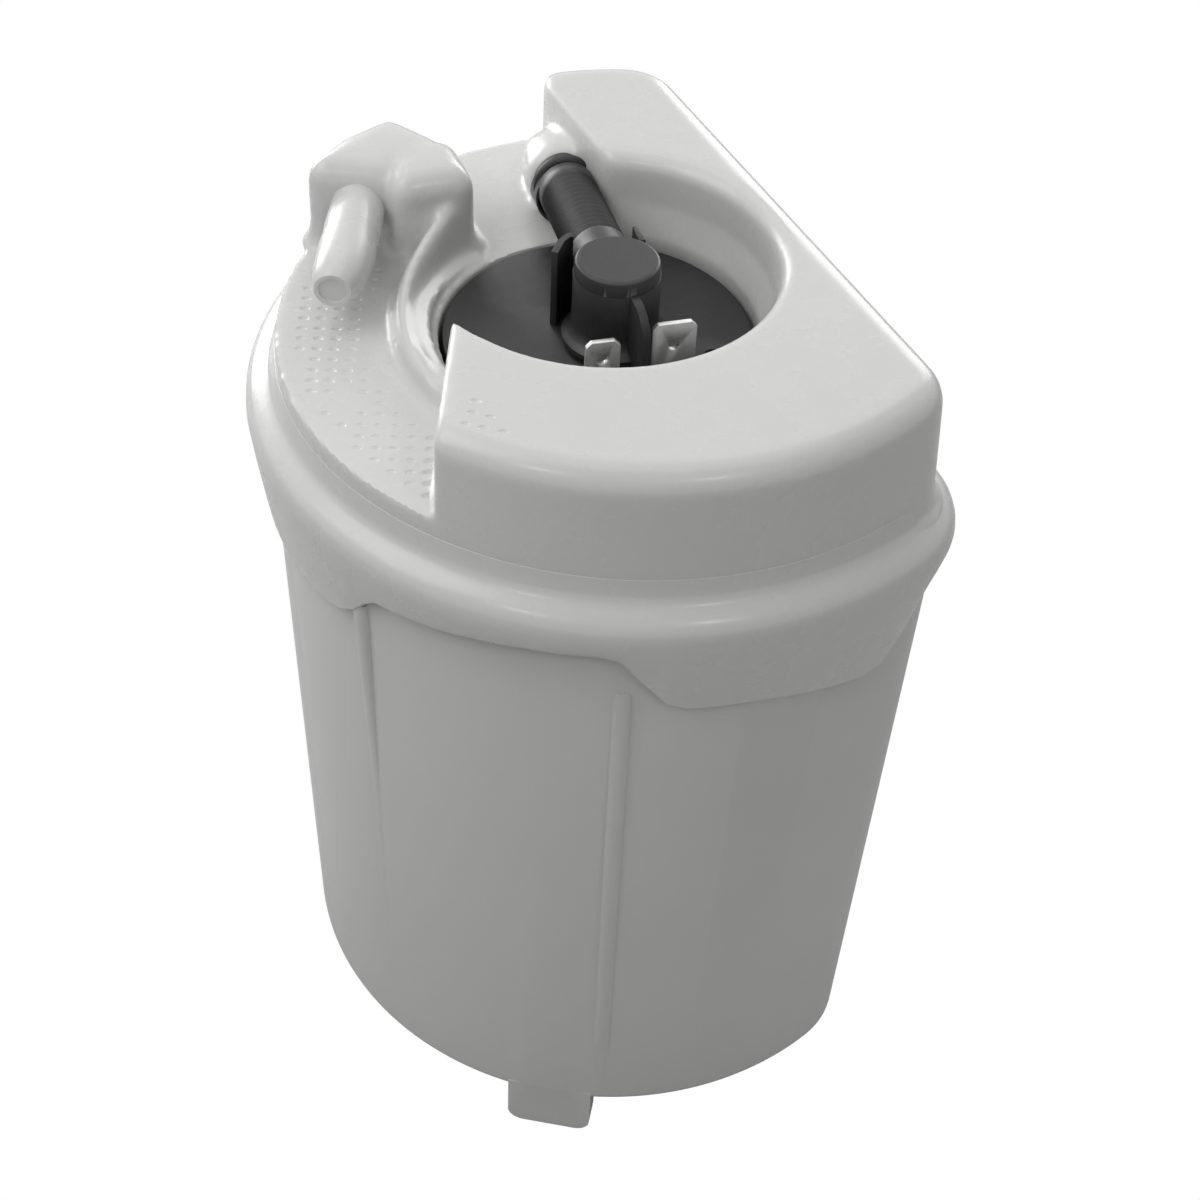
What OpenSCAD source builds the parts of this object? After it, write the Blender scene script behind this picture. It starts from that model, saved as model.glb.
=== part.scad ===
// In-tank fuel pump: a swirl pot with a clip-on cover, and an electric pump inside it.
// Millimetres, Z up. The pot stands on three lugs and its flat side faces +X.

/* [Pot] */
// How much narrower the pot wall is at the floor than at its top edge
pot_taper = 2.5; // [1:0.1:4]
// How far the flat side leans in from top to floor
pot_flat_lean = 3.6; // [0:0.1:4]
// Height of the lowest face of the floor above the lugs
lug_h = 7.3; // [5:0.1:9]
// Height of the pot wall from the floor to its top edge
pot_h = 109; // [100:1:120]
// Thickness of the pot wall
pot_wall = 2.2; // [1.8:0.1:3]
// Thickness of the pot floor
floor_t = 2.5; // [2:0.1:3.5]
// Radius of the two corners beside the flat side
corner_r = 14; // [10:0.5:16]
// Radius of the rounded bottom edge
floor_edge_r = 3; // [1.5:0.5:4]
// Width of each standing lug
lug_w = 13.5; // [10:0.5:16]
// Thickness of each standing lug
lug_t = 4; // [3:0.5:5]
// Width of the upright rib on the wall
rib_w = 1.8; // [1.2:0.1:3]
// How far the upright rib stands out
rib_out = 0.8; // [0.4:0.1:1.2]
// How far the guide fin stands out at its top
fin_out = 1.6; // [1:0.1:2]

/* [Cover] */
// Outer radius of the cover at its rim
rim_r = 55; // [54:0.1:57]
// Distance from the pot axis to the flat side of the rim
rim_flat = 29.2; // [29:0.1:32]
// Height of the rim band
rim_h = 8; // [7:0.5:10]
// How far the rim stands out past the round wall of the pot
rim_over = 2.9; // [2.4:0.1:4]
// How far the rim stands out past the flat side of the pot
flat_over = 1; // [0.8:0.1:1.6]
// Height of the lower deck above the rim band
deck_h = 6.3; // [5:0.1:8]
// Distance from the edge of the rim in to the edge of the lower deck
deck_in = 4.7; // [4:0.1:7]
// Height of the raised part above the lower deck
raised_h = 13.2; // [10:0.1:16]
// Distance from the edge of the lower deck in to the edge of the raised part
raised_in = 1; // [0.5:0.1:3]
// Distance from the flat side of the rim in to the flat side of the raised part
raised_flat_in = 4.5; // [4:0.1:6]
// Radius of the raised part's two corners
raised_corner = 9; // [7:0.5:10]
// Radius of the rim's two corners
rim_corner = 16; // [14:0.5:18]
// Thickness of the cover wall
cover_wall = 2.2; // [1.8:0.1:3]
// Length of the snap tabs below the rim band
tab_len = 10.5; // [8:0.5:13]
// Width of the window in each snap tab
window_w = 14; // [10:0.5:16]
// Height of the window in each snap tab
window_h = 4; // [3:0.5:5]
// Gap between the cover and the pot wall
skirt_gap = 0.25; // [0.15:0.05:0.4]
// Height of the boss above the lower deck
boss_h = 14.2; // [12:0.1:16]

/* [Supply spigot] */
// Radius of the spigot over its barbs
spigot_r = 3.9; // [3.4:0.1:4.5]
// Length of the spigot in front of the boss
spigot_len = 17; // [12:0.5:20]
// Radius of the bore through the spigot
spigot_bore_r = 2.1; // [1.5:0.1:2.4]

/* [Well] */
// Radius of the well at its mouth
well_r = 24.6; // [24:0.1:26]
// Radius of the well beside the pump
well_low_r = 22.6; // [22.3:0.1:23.5]
// Outer radius of the collar round the well
collar_r = 28.9; // [28:0.1:30]
// Rise of the collar towards the boss, in degrees
collar_lean = 16.5; // [12:0.5:18]
// Length of the sleeve below the lower deck
sleeve_len = 22; // [16:0.5:28]

/* [Pump] */
// Distance of the pump axis from the pot axis, away from the flat side
pump_off = 5.6; // [4:0.1:7]
// Outer radius of the steel case
can_r = 21; // [20.5:0.1:21.4]
// Wall of the steel case
can_wall = 1.6; // [1.2:0.1:2]
// Radius of the black end cap
cap_r = 21.8; // [21.5:0.1:22.2]
// Thickness of the end cap's visible disc
cap_t = 4.5; // [3.5:0.1:6]
// Radius of the outlet head
head_r = 6.05; // [5.6:0.05:6.6]
// Height of the outlet head above the disc
head_h = 12.4; // [10:0.1:14]
// Width of the wide terminal
wide_w = 6.3; // [6.3:0.1:6.3]
// Width of the narrow terminal
narrow_w = 4.8; // [4.8:0.1:4.8]
// Thickness of the terminals
blade_t = 0.8; // [0.8:0.1:0.8]
// Height of the terminals above the disc
blade_h = 8; // [7:0.1:10]

/* [Hose] */
// Outer radius of the corrugated hose over its ridges
hose_r = 4.3; // [4:0.1:4.6]
// Distance from one ridge to the next
ridge_pitch = 1.6; // [1.4:0.1:2.2]
// Depth of the grooves between the ridges
groove_depth = 0.5; // [0.3:0.1:0.8]
// Wall of the hose under its grooves
hose_wall = 0.6; // [0.5:0.1:0.8]
// Distance from the head axis to the port mouth, along the hose
port_reach = 33.2; // [31:0.1:36]
// Direction of the hose in plan
hose_turn = 78; // [74:1:82]
// Angle at which the hose dips towards the port
hose_dip = 7; // [6:0.5:8]

/* [Motor] */
// Radius of the motor shaft
shaft_r = 2.5; // [2:0.1:3]
// Running clearance of the shaft in its bushes
shaft_gap = 0.04; // [0.02:0.01:0.08]
// Radius of the armature
armature_r = 14; // [12:0.1:14.5]
// Number of armature slots
slots = 8; // [6:1:12]
// Air gap between the armature and the magnets
air_gap = 0.7; // [0.5:0.1:1]
// Radius of the commutator
comm_r = 7.5; // [6:0.1:8.5]
// Number of commutator bars
bars = 8; // [6:1:12]
// Height of the commutator
comm_h = 8; // [7:0.5:9]
// Width and height of a brush
brush_w = 5; // [4:0.1:6]
// Length of a new brush
brush_len = 6; // [4:0.1:6.5]

/* [Pump stage] */
// Radius of the impeller
impeller_r = 16; // [14:0.1:16.5]
// Thickness of the impeller
impeller_t = 4; // [3:0.1:5]
// Number of impeller blades
blades = 24; // [16:1:32]
// Side clearance of the impeller in its chamber
side_gap = 0.1; // [0.05:0.01:0.2]

/* [Valves] */
// Radius of the relief valve ball
ball_r = 1.75; // [1.5:0.05:1.9]
// Radius of the foot valve's rubber disc
flap_r = 7; // [6:0.5:8]
// Lift of the foot valve
foot_lift = 1.2; // [0.8:0.1:1.4]

/* [Hidden] */
$fn = 96;

// Small values shared by many pieces
thin = 0.02;
seat_gap = 0.05;

// Rounding of the raised part's top edge
top_edge_r = 4;

// Outlines of the housing
pot_top_r = rim_r - rim_over;
pot_low_r = pot_top_r - pot_taper;
pot_flat = rim_flat - flat_over;
deck_r = rim_r - deck_in;
raised_r = deck_r - raised_in;
raised_flat = rim_flat - raised_flat_in;
axis_x = (rim_r - rim_flat) / 2;

// How far out the pieces beside the wall stand, against a rim of 55 mm
spread = rim_r / 55;

// Heights of the housing
floor_top = lug_h + floor_t;
pot_top = lug_h + pot_h;
skirt_z = pot_top - 5;
deck_z = skirt_z + rim_h + deck_h;
raised_z = deck_z + raised_h;
tab_z = skirt_z - tab_len;
window_z = skirt_z - 6;

// Places of the pump's layers, from the disc down to the inlet
pump_x = -pump_off;
disc_top = deck_z + 1.3;
disc_low = disc_top - cap_t;
can_in = can_r - can_wall;
plug_r = can_in - seat_gap;
can_low = floor_top + 9.5;
cover_t = 6.5;
cover_low = can_low + 1.5;
stage_low = cover_low + cover_t;
ring_h = impeller_t + 2 * side_gap;
plate_low = stage_low + ring_h;
plate_t = 6;
bush_h = 6;
core_low = plate_low + plate_t + 11;
wind_h = 6.5;
valve_low = disc_low - 6;
valve_gap = 6.9;
core_len = valve_low - valve_gap - bush_h - comm_h - wind_h - 3.5 - core_low;
core_top = core_low + core_len;
comm_low = core_top + wind_h + 1.5;
body_low = comm_low + comm_h + 2;
shaft_low = plate_low - impeller_t - 1.5;
shaft_top = body_low + bush_h - 0.5;
magnet_in = armature_r + air_gap;
magnet_out = can_in - seat_gap;

// Inlet neck and its place, and the rubber mount under the case
neck_x = 11;
neck_r = 5.5;
neck_lift = 3;
bush_r = 5;
mount_lap = 9;
mount_out = 3;
mount_drop = 2;

// Outlet head and its valve
head_x = pump_x + 1.1;
head_y = -2.7;
head_top = disc_top + head_h;
hose_z = disc_top + 7.5;
valve_bore_r = 3.7;
seat_top = disc_top - 2;
poppet_h = 2.6;
plug_t = 1.2;
plug_depth = 2;
valve_roof = head_top - plug_t - plug_depth;
passage_z = body_low + bush_h + 3.6;
passage_x = pump_x + 9;
passage_y = 7.5;

// Terminals stand either side of the outlet head
wide_x = head_x + 4.3;
narrow_x = head_x - 6.4;
blade_y = -12;
blade_turn = -11;
choke_r = 2.7;

// Relief valve beside the wide terminal
relief_x = pump_x + 12.3;
relief_y = -11.3;
relief_bore_r = ball_r + 0.35;
relief_roof = disc_top - 2;
relief_seat_h = 8;
relief_seat_top = relief_roof - 9;

// Hose from the head to its port
hose_start = head_r + 1.6;
cuff_len = 4;
clip_in = head_r + 1.85;
spigot_wall_r = hose_r - groove_depth - hose_wall - seat_gap;
port_r = hose_r + 0.4;
port_depth = 5;
port_open = 9;
port_x = head_x + (port_reach + port_depth) * cos(hose_turn) * cos(hose_dip);
port_y = head_y + (port_reach + port_depth) * sin(hose_turn) * cos(hose_dip);
port_z = hose_z - (port_reach + port_depth) * sin(hose_dip);

// Boss, spigot, and the duct under the deck
boss_top = deck_z + boss_h;
spigot_at = [-28.7, 32.4] * spread;
spigot_turn = 240.4;
spigot_z = deck_z + 7.3;
riser_r = 1.5;
duct_r = 2.4;
duct_wall = 1.6;
duct_z = deck_z - duct_r - duct_wall - 2;

// Jet pump on the floor
jet_x = -24 * spread;
jet_y = 31 * spread;
jet_z = floor_top + 7;
feed_r = 3.4;
feed_in_r = 2.2;
ring_wire = 0.8;
socket_r = feed_r + 2 * ring_wire + 1.4;
socket_len = 12;
foot_x = -11 * spread;
foot_y = 32.5 * spread;

function arc(r, a, b, n, cx = 0, cy = 0) =
    [for (i = [0:n]) [cx + r * cos(a + (b - a) * i / n), cy + r * sin(a + (b - a) * i / n)]];

// Outline of a round body with one flat side at +X and rounded corners beside it
function d_outline(r, flat, c) =
    let (cx = flat - c, cy = sqrt(pow(r - c, 2) - pow(flat - c, 2)), phi = atan2(cy, cx))
    concat(arc(c, 0, phi, 5, cx, cy),
           [for (i = [1:51]) let (a = phi + (360 - 2 * phi) * i / 52) [r * cos(a), r * sin(a)]],
           arc(c, -phi, 0, 5, cx, -cy));

// Lofts flat-sided outlines through levels of [height, radius, flat]
module d_loft(levels, c = corner_r) {
    hull()
        for (level = levels)
            translate([0, 0, level[0]])
                linear_extrude(thin)
                    polygon(d_outline(level[1], level[2], c));
}

module at_pump(x = pump_x, y = 0, z = 0) {
    translate([x, y, z]) children();
}

// Frame along the hose: origin on the head axis, +X towards the port
module along_hose(d = 0) {
    translate([head_x, head_y, hose_z])
        rotate([0, hose_dip, hose_turn])
            translate([d, 0, 0])
                children();
}

// Frame along the level spigot: origin inside the boss, +X towards the tip
module along_spigot(d = 0) {
    translate([spigot_at[0], spigot_at[1], spigot_z])
        rotate([0, 0, spigot_turn])
            translate([d, 0, 0])
                children();
}

module rod(r, x0, x1) {
    translate([x0, 0, 0])
        rotate([0, 90, 0])
            cylinder(r = r, h = x1 - x0);
}

module tube(r_out, r_in, z0, z1) {
    difference() {
        translate([0, 0, z0]) cylinder(r = r_out, h = z1 - z0);
        translate([0, 0, z0 - 1]) cylinder(r = r_in, h = z1 - z0 + 2);
    }
}

function wall_r(z) = pot_low_r + (pot_top_r - pot_low_r) * (z - lug_h) / pot_h;
function wall_flat(z) = pot_flat - pot_flat_lean * (pot_top - z) / pot_h;

module coil_spring(r, wire, length, turns) {
    seg = 14;
    side = 6;
    rings = turns * seg;
    rise = (length - 2 * wire) / rings;
    points = [for (i = [0:rings], j = [side - 1:-1:0])
        let (a = 360 * i / seg, b = 360 * j / side, q = r - wire + wire * cos(b))
        [q * cos(a), q * sin(a), wire + i * rise + wire * sin(b)]];
    sides = [for (i = [0:rings - 1], j = [0:side - 1])
        let (k = (j + 1) % side)
        [i * side + j, i * side + k, (i + 1) * side + k, (i + 1) * side + j]];
    start = [for (j = [side - 1:-1:0]) j];
    end = [for (j = [0:side - 1]) rings * side + j];
    polyhedron(points, concat(sides, [start, end]), convexity = 6);
}

// The snap tabs: centre angle and half width of each
tabs = [[-90.5, 26.5], [172, 29], [90.5, 26.5]];
windows = [-88.5, 169, 88.5];

module pot() {
    color("gainsboro") {
        difference() {
            union() {
                d_loft([[lug_h, pot_low_r - floor_edge_r, wall_flat(lug_h) - floor_edge_r],
                        [lug_h + floor_edge_r * 0.3, pot_low_r - floor_edge_r * 0.29,
                         wall_flat(lug_h) - floor_edge_r * 0.29],
                        [lug_h + floor_edge_r, wall_r(lug_h + floor_edge_r), wall_flat(lug_h + floor_edge_r)],
                        [pot_top - thin, pot_top_r, pot_flat]]);
                pot_lugs();
                pot_rib();
                pot_fin();
                for (a = windows) pot_hook(a);
            }
            d_loft([[floor_top, wall_r(floor_top) - pot_wall, wall_flat(floor_top) - pot_wall],
                    [pot_top + thin, pot_top_r - pot_wall, pot_flat - pot_wall]], corner_r - pot_wall);
            foot_holes();
        }
        pump_seat();
    }
}

module pot_lugs() {
    for (a = [-125.7, 125.7])
        rotate(a)
            lug(wall_r(lug_h + floor_edge_r) - 0.2);
    lug(wall_flat(lug_h + floor_edge_r) - 0.2);
}

// A standing lug, rounded at its lower corners
module lug(at) {
    round_r = 2.5;
    translate([at - lug_t, 0, 0])
        rotate([90, 0, 90])
            linear_extrude(lug_t)
                polygon(concat([[lug_w / 2, lug_h + 2], [-lug_w / 2, lug_h + 2]],
                               arc(round_r, 180, 270, 6, -lug_w / 2 + round_r, round_r),
                               arc(round_r, 270, 360, 6, lug_w / 2 - round_r, round_r)));
}

module pot_rib() {
    top = tab_z;
    low = lug_h + 15;
    rotate(-117.4)
        rotate([90, 0, 0])
            linear_extrude(rib_w, center = true)
                polygon([[wall_r(low) - 1, low], [wall_r(low) + rib_out, low + 2],
                         [wall_r(top) + rib_out, top], [wall_r(top) - 1, top]]);
}

module pot_fin() {
    top = tab_z;
    low = tab_z - 37;
    rotate(-161)
        rotate([90, 0, 0])
            linear_extrude(rib_w, center = true)
                polygon([[wall_r(low) - 1, low], [wall_r(low), low],
                         [wall_r(top) + fin_out, top - 3], [wall_r(top) + fin_out, top],
                         [wall_r(top) - 1, top]]);
}

// A wedge that snaps into the window of a tab
module pot_hook(a) {
    w = window_w - 1;
    top = window_z + window_h - 0.4;
    low = window_z + 0.4;
    rotate(a)
        rotate([90, 0, 0])
            linear_extrude(w, center = true)
                polygon([[wall_r(low) - 1.5, low], [wall_r(low) + 0.2, low],
                         [wall_r(top) + 1.2, top - 1], [wall_r(top) + 1.2, top],
                         [wall_r(top) - 1.5, top]]);
}

// The slotted ring on the floor that carries the rubber mount
module pump_seat() {
    at_pump()
        difference() {
            tube(can_r + 3.2, can_r + 1, floor_top - 0.5, can_low - 2);
            for (a = [30, 150, 270])
                rotate(a)
                    translate([can_r, 0, floor_top + 3.5])
                        cube([12, 10, 7], center = true);
        }
}

module foot_holes() {
    translate([foot_x, foot_y, lug_h - 1]) {
        cylinder(r = 1.6, h = floor_t + 2);
        for (a = [0:72:288])
            rotate(a)
                translate([4, 0, 0])
                    cylinder(r = 1.4, h = floor_t + 2, $fn = 32);
    }
}

module cover() {
    color("whitesmoke")
        difference() {
            union() {
                cover_shell();
                cover_collar();
                cover_boss();
                along_spigot() cover_spigot();
                cover_port();
                cover_tabs();
            }
            well_hole();
            well_mouth();
            along_hose(port_reach) rod(port_r, -port_open, port_depth);
            along_hose(port_reach) rod(duct_r, 0, port_depth + 2.6);
            duct_bores();
            for (a = windows)
                rotate(a)
                    translate([rim_r, 0, window_z + window_h / 2])
                        cube([12, window_w, window_h], center = true);
        }
}

module cover_shell() {
    rim_top = skirt_z + rim_h;
    difference() {
        union() {
            d_loft([[skirt_z, rim_r - 1.6, rim_flat - 1.2], [skirt_z + 2, rim_r - 0.3, rim_flat - 0.2],
                    [skirt_z + 4, rim_r, rim_flat], [skirt_z + 6, rim_r - 0.6, rim_flat - 0.4],
                    [skirt_z + 7.4, rim_r - 2, rim_flat - 1.6],
                    [rim_top - thin, rim_r - 4, rim_flat - 3.4]], rim_corner);
            d_loft([[rim_top - 1, deck_r + 0.5, raised_flat + 0.6], [deck_z - 1.2, deck_r, raised_flat + 0.3],
                    [deck_z - thin, deck_r - 1.2, raised_flat - 0.6]], raised_corner);
            difference() {
                d_loft([[rim_top - 1, deck_r + 0.5, raised_flat + 0.6],
                        [raised_z - top_edge_r, raised_r + 0.4, raised_flat],
                        [raised_z - 0.3 * top_edge_r, raised_r - 0.28 * top_edge_r,
                         raised_flat - 0.28 * top_edge_r],
                        [raised_z - thin, raised_r - top_edge_r, raised_flat - top_edge_r]], raised_corner);
                deck_zone(deck_z - thin, 0);
            }
        }
        d_loft([[skirt_z - 1, wall_r(skirt_z - 1) + skirt_gap, wall_flat(skirt_z - 1) + skirt_gap],
                [pot_top, pot_top_r + skirt_gap, pot_flat + skirt_gap]]);
        difference() {
            union() {
                d_loft([[pot_top - 1, deck_r - cover_wall, raised_flat - cover_wall + 0.6],
                        [deck_z - cover_wall, deck_r - cover_wall - 0.6, raised_flat - cover_wall]],
                       raised_corner - cover_wall);
                difference() {
                    translate([0, 0, deck_z - cover_wall - 1])
                        linear_extrude(raised_h + 1 - 0.01)
                            polygon(d_outline(raised_r - cover_wall - 1, raised_flat - cover_wall - 1,
                                              raised_corner - cover_wall - 1));
                    deck_zone(pot_top, cover_wall);
                }
            }
            translate([pump_x, 0, pot_top - 2])
                cylinder(r = well_r + cover_wall - 0.4, h = raised_h + 20);
        }
    }
}

// The sector where the deck stays low, grown by a margin, from height z up
module deck_zone(z, grow) {
    far_x = 5.4;
    near_x = -29.4;
    near_y = -4.3;
    out_x = -44;
    out_y = -32.3;
    translate([0, 0, z])
        linear_extrude(raised_h + deck_h + 20)
            polygon([[far_x + 12 + grow, 70], [far_x + 2.5 + grow, 48], [far_x + 0.6 + grow, 45.5],
                     [far_x + grow, 42.5], [far_x + grow, 18], [near_x + grow, near_y - grow],
                     [out_x + grow, out_y - grow], [-80, out_y - grow], [-80, 70]]);
}

// A collar beside the well, which climbs from the raised part to the boss, and the sleeve below
module cover_collar() {
    low = deck_z - cover_wall;
    start = 114;
    sweep = 92;
    at_pump() {
        tube(well_low_r + 2, well_low_r - 0.5, deck_z - sleeve_len, deck_z - 0.5);
        difference() {
            rotate(start)
                rotate_extrude(angle = sweep)
                    polygon([[well_low_r - 0.5, low], [collar_r, low], [collar_r, deck_z],
                             [collar_r - 0.6, deck_z + 1.2], [collar_r - 1.3, deck_z + raised_h],
                             [collar_r - 2.3, deck_z + raised_h], [well_r + 0.2, deck_z + 3],
                             [well_low_r - 0.5, deck_z + 3]]);
            translate([0, 0, deck_z + 9.2])
                rotate([0, -collar_lean, 23.5])
                    translate([-60, -60, 0])
                        cube([120, 120, 60]);
        }
    }
}

// The deck rounds down into the well between the port and the boss
module well_mouth() {
    out = 5.6;
    drop = 4;
    round_points = [for (i = [0:6]) let (a = 15 * i)
        [well_low_r + out * (1 - sin(a)), deck_z - drop * (1 - cos(a))]];
    at_pump()
        rotate(66)
            rotate_extrude(angle = 47)
                polygon(concat([[well_low_r - 0.5, deck_z + 0.2], [well_low_r + out, deck_z + 0.2]], round_points,
                               [[well_low_r - 0.5, deck_z - drop]]));
}

// The well narrows from its mouth to the pump, and goes on down as a sleeve
module well_hole() {
    at_pump()
        rotate_extrude()
            polygon([[0, deck_z - sleeve_len - 1], [well_low_r, deck_z - sleeve_len - 1],
                     [well_low_r, disc_top], [well_low_r + 0.8, disc_top + 2.2],
                     [well_r - 0.4, disc_top + 5.5], [well_r, raised_z - 1.4],
                     [well_r + 0.4, raised_z - 0.5], [well_r + 1.3, raised_z + thin], [0, raised_z + thin]]);
}

// Two rounded blocks, merged, on the lower deck
module cover_boss() {
    post_r = 2.4;
    blocks = [[[-32.6, 35.6], [-25.6, 31.6], [-17, 35], [-20.4, 41.4], [-27.2, 39.2]],
              [[-23.4, 27.4], [-15.9, 26.4], [-15.5, 33], [-22, 36]]];
    for (block = blocks)
        hull()
            for (p = block)
                translate([p[0] * spread, p[1] * spread, deck_z - 1]) {
                    cylinder(r = post_r + 0.2, h = 1, $fn = 32);
                    translate([0, 0, boss_h + 1 - post_r])
                        sphere(r = post_r, $fn = 32);
                }
}

// A tapered spigot with three barbed steps
module cover_spigot() {
    step = spigot_len / 3.4;
    rotate([0, 90, 0])
        rotate_extrude()
            polygon([[0, 0], [spigot_r + 0.2, 0], [spigot_r, 2.5 + step], [spigot_r - 0.35, 3 + step],
                     [spigot_r - 0.35, 3 + 2 * step], [spigot_r - 0.7, 3.5 + 2 * step],
                     [spigot_r - 0.8, 3 + spigot_len - 0.6], [spigot_r - 1.3, 3 + spigot_len],
                     [0, 3 + spigot_len]]);
}

// The socket that takes the end of the outlet hose
module cover_port() {
    wide = port_r + 1.2;
    along_hose(port_reach)
        rotate([0, 90, 0])
            rotate_extrude()
                polygon([[0, 0.4], [wide - 0.5, 0.4], [wide, 0.9], [wide, port_depth], [wide - 0.5, port_depth + 2.6],
                         [wide - 1.8, port_depth + 5], [wide - 3.8, port_depth + 6.4], [0, port_depth + 7]]);
    translate([port_x, port_y, duct_z - duct_r - duct_wall - 0.7])
        cylinder(r = duct_r + duct_wall + 0.5, h = port_z - duct_z + duct_r + 1);
    duct_between(duct_r + duct_wall);
    translate([jet_x, jet_y, duct_z - socket_len])
        cylinder(r = socket_r, h = deck_z - duct_z + socket_len - 0.5);
}

// A straight run under the deck from the port to the boss
module duct_between(r) {
    dx = jet_x - port_x;
    dy = jet_y - port_y;
    translate([port_x, port_y, duct_z])
        rotate([0, 0, atan2(dy, dx)])
            rod(r, 0, sqrt(dx * dx + dy * dy));
}

module duct_bores() {
    low = duct_z - socket_len;
    duct_between(duct_r);
    translate([port_x, port_y, duct_z]) cylinder(r = duct_r - 0.2, h = port_z - duct_z);
    along_spigot() rod(spigot_bore_r, -1, spigot_len + 4);
    boss_elbow();
    translate([jet_x, jet_y, low - 1]) cylinder(r = feed_r + seat_gap, h = 9);
    translate([jet_x, jet_y, low - 1]) cylinder(r = feed_r + 2 * ring_wire + seat_gap, h = 1 + 2 * ring_wire);
    translate([jet_x, jet_y, low]) cylinder(r = feed_in_r, h = deck_z - low - 1);
    translate([jet_x, jet_y, deck_z - 2]) cylinder(r = riser_r, h = spigot_z - deck_z + 2);
}

// The level bore in the boss, from the riser to the spigot
module boss_elbow() {
    dx = spigot_at[0] - jet_x;
    dy = spigot_at[1] - jet_y;
    translate([jet_x, jet_y, spigot_z])
        rotate([0, 0, atan2(dy, dx)])
            rod(spigot_bore_r - 0.25, 0, norm([dx, dy]) + 1);
}

module cover_tabs() {
    for (t = tabs)
        rotate(t[0] - t[1])
            rotate_extrude(angle = 2 * t[1])
                polygon([[wall_r(tab_z) + skirt_gap + 0.15, tab_z], [wall_r(tab_z) + 1.3, tab_z],
                         [rim_r - 1.7, skirt_z - 2], [rim_r - 1.4, skirt_z + 1],
                         [pot_top_r + skirt_gap, skirt_z + 1]]);
}

module end_cap() {
    color("dimgray")
        difference() {
            union() {
                at_pump() {
                    translate([0, 0, disc_low]) cylinder(r = cap_r - 0.4, h = cap_t);
                    translate([0, 0, disc_low]) cylinder(r = cap_r, h = cap_t - 0.5);
                    translate([0, 0, body_low]) cylinder(r = plug_r, h = disc_low - body_low + 1);
                    brush_boxes();
                }
                translate([head_x, head_y, disc_low]) {
                    cylinder(r = head_r, h = head_top - plug_t - disc_low);
                    cylinder(r1 = head_r + 1.2, r2 = head_r + 0.4, h = cap_t + 1.4);
                }
                along_hose() rod(spigot_wall_r, 0, hose_start + 6);
                divider_fin();
            }
            cap_cavities();
        }
}

// Two radial boxes below the cap body, one on each side of the commutator
module brush_boxes() {
    box_low = comm_low - 0.5;
    intersection() {
        translate([0, 0, box_low]) cylinder(r = plug_r - 0.4, h = body_low - box_low + 0.5);
        for (s = [-1, 1])
            translate([s * (comm_r + 1.5 + 6), 0, (box_low + body_low + 0.5) / 2])
                cube([12, brush_w + 5, body_low - box_low + 0.5], center = true);
    }
}

// The upright fin that keeps the two connectors apart, with a rounded outer corner
module divider_fin() {
    fin_x = head_x - 0.4;
    fin_t = 1.2;
    root_y = head_y - head_r + 0.5;
    reach = 5;
    top = head_top - 1;
    corner = [for (i = [0:6]) let (a = 15 * i) [root_y - 0.5 - (reach - 0.5) * sin(a), top - 5 * (1 - cos(a))]];
    translate([fin_x - fin_t / 2, 0, 0])
        rotate([90, 0, 90])
            linear_extrude(fin_t)
                polygon(concat([[root_y, disc_low + 1], [root_y, top]], corner, [[root_y - reach, disc_low + 1]]));
}

module cap_cavities() {
    at_pump() {
        for (s = [-1, 1])
            translate([s * (comm_r + 0.6 + 10), 0, comm_low + comm_h / 2])
                cube([20, brush_w + 0.2, brush_w + 0.2], center = true);
        translate([0, 0, body_low - 1]) cylinder(r = 5 + seat_gap, h = bush_h + 1);
    }
    translate([head_x, head_y, passage_z - 2.2]) cylinder(r = 2.1, h = valve_low - passage_z + 3);
    translate([head_x, head_y, valve_low]) cylinder(r = valve_bore_r, h = head_top - valve_low + 1);
    translate([passage_x, passage_y, body_low - 1]) cylinder(r = 2.1, h = passage_z - body_low + 3.2);
    translate([head_x, head_y, passage_z])
        rotate([0, 0, atan2(passage_y - head_y, passage_x - head_x)])
            rod(1.8, 0, norm([passage_x - head_x, passage_y - head_y]));
    along_hose() rod(spigot_wall_r - 0.9, 0, hose_start + 7);
    for (x = [wide_x, narrow_x])
        translate([x, blade_y, body_low - 1]) cylinder(r = choke_r + seat_gap, h = disc_low - body_low - 1);
    at_blade(wide_x) blade_slot(wide_w);
    at_blade(narrow_x) blade_slot(narrow_w);
    translate([relief_x, relief_y, body_low - 1]) cylinder(r = relief_bore_r, h = relief_roof - body_low + 1);
    translate([relief_x, relief_y, relief_roof - 1]) cylinder(r = 1.3, h = 4);
}

// Frame of a blade: origin at its middle, +X along its width
module at_blade(x) {
    translate([x, blade_y, 0])
        rotate(blade_turn)
            children();
}

module blade_slot(w) {
    translate([-w / 2 - seat_gap, -blade_t / 2 - seat_gap, disc_low - 2.6])
        cube([w + 2 * seat_gap, blade_t + 2 * seat_gap, cap_t + 4]);
}

// A flat blade with chamfered corners and a detent hole
module blade(w, hole_drop) {
    chamfer = 0.8;
    low = disc_low - 2;
    top = disc_top + blade_h;
    translate([0, blade_t / 2, 0])
        rotate([90, 0, 0])
            linear_extrude(blade_t)
                difference() {
                    polygon([[-w / 2, low], [w / 2, low], [w / 2, top - chamfer], [w / 2 - chamfer, top],
                             [chamfer - w / 2, top], [-w / 2, top - chamfer]]);
                    translate([0, top - hole_drop]) circle(r = 0.8, $fn = 32);
                }
}

module terminal_wide() {
    color("silver") at_blade(wide_x) blade(wide_w, 3.6);
}

module terminal_narrow() {
    color("silver") at_blade(narrow_x) blade(narrow_w, 2.9);
}

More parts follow.
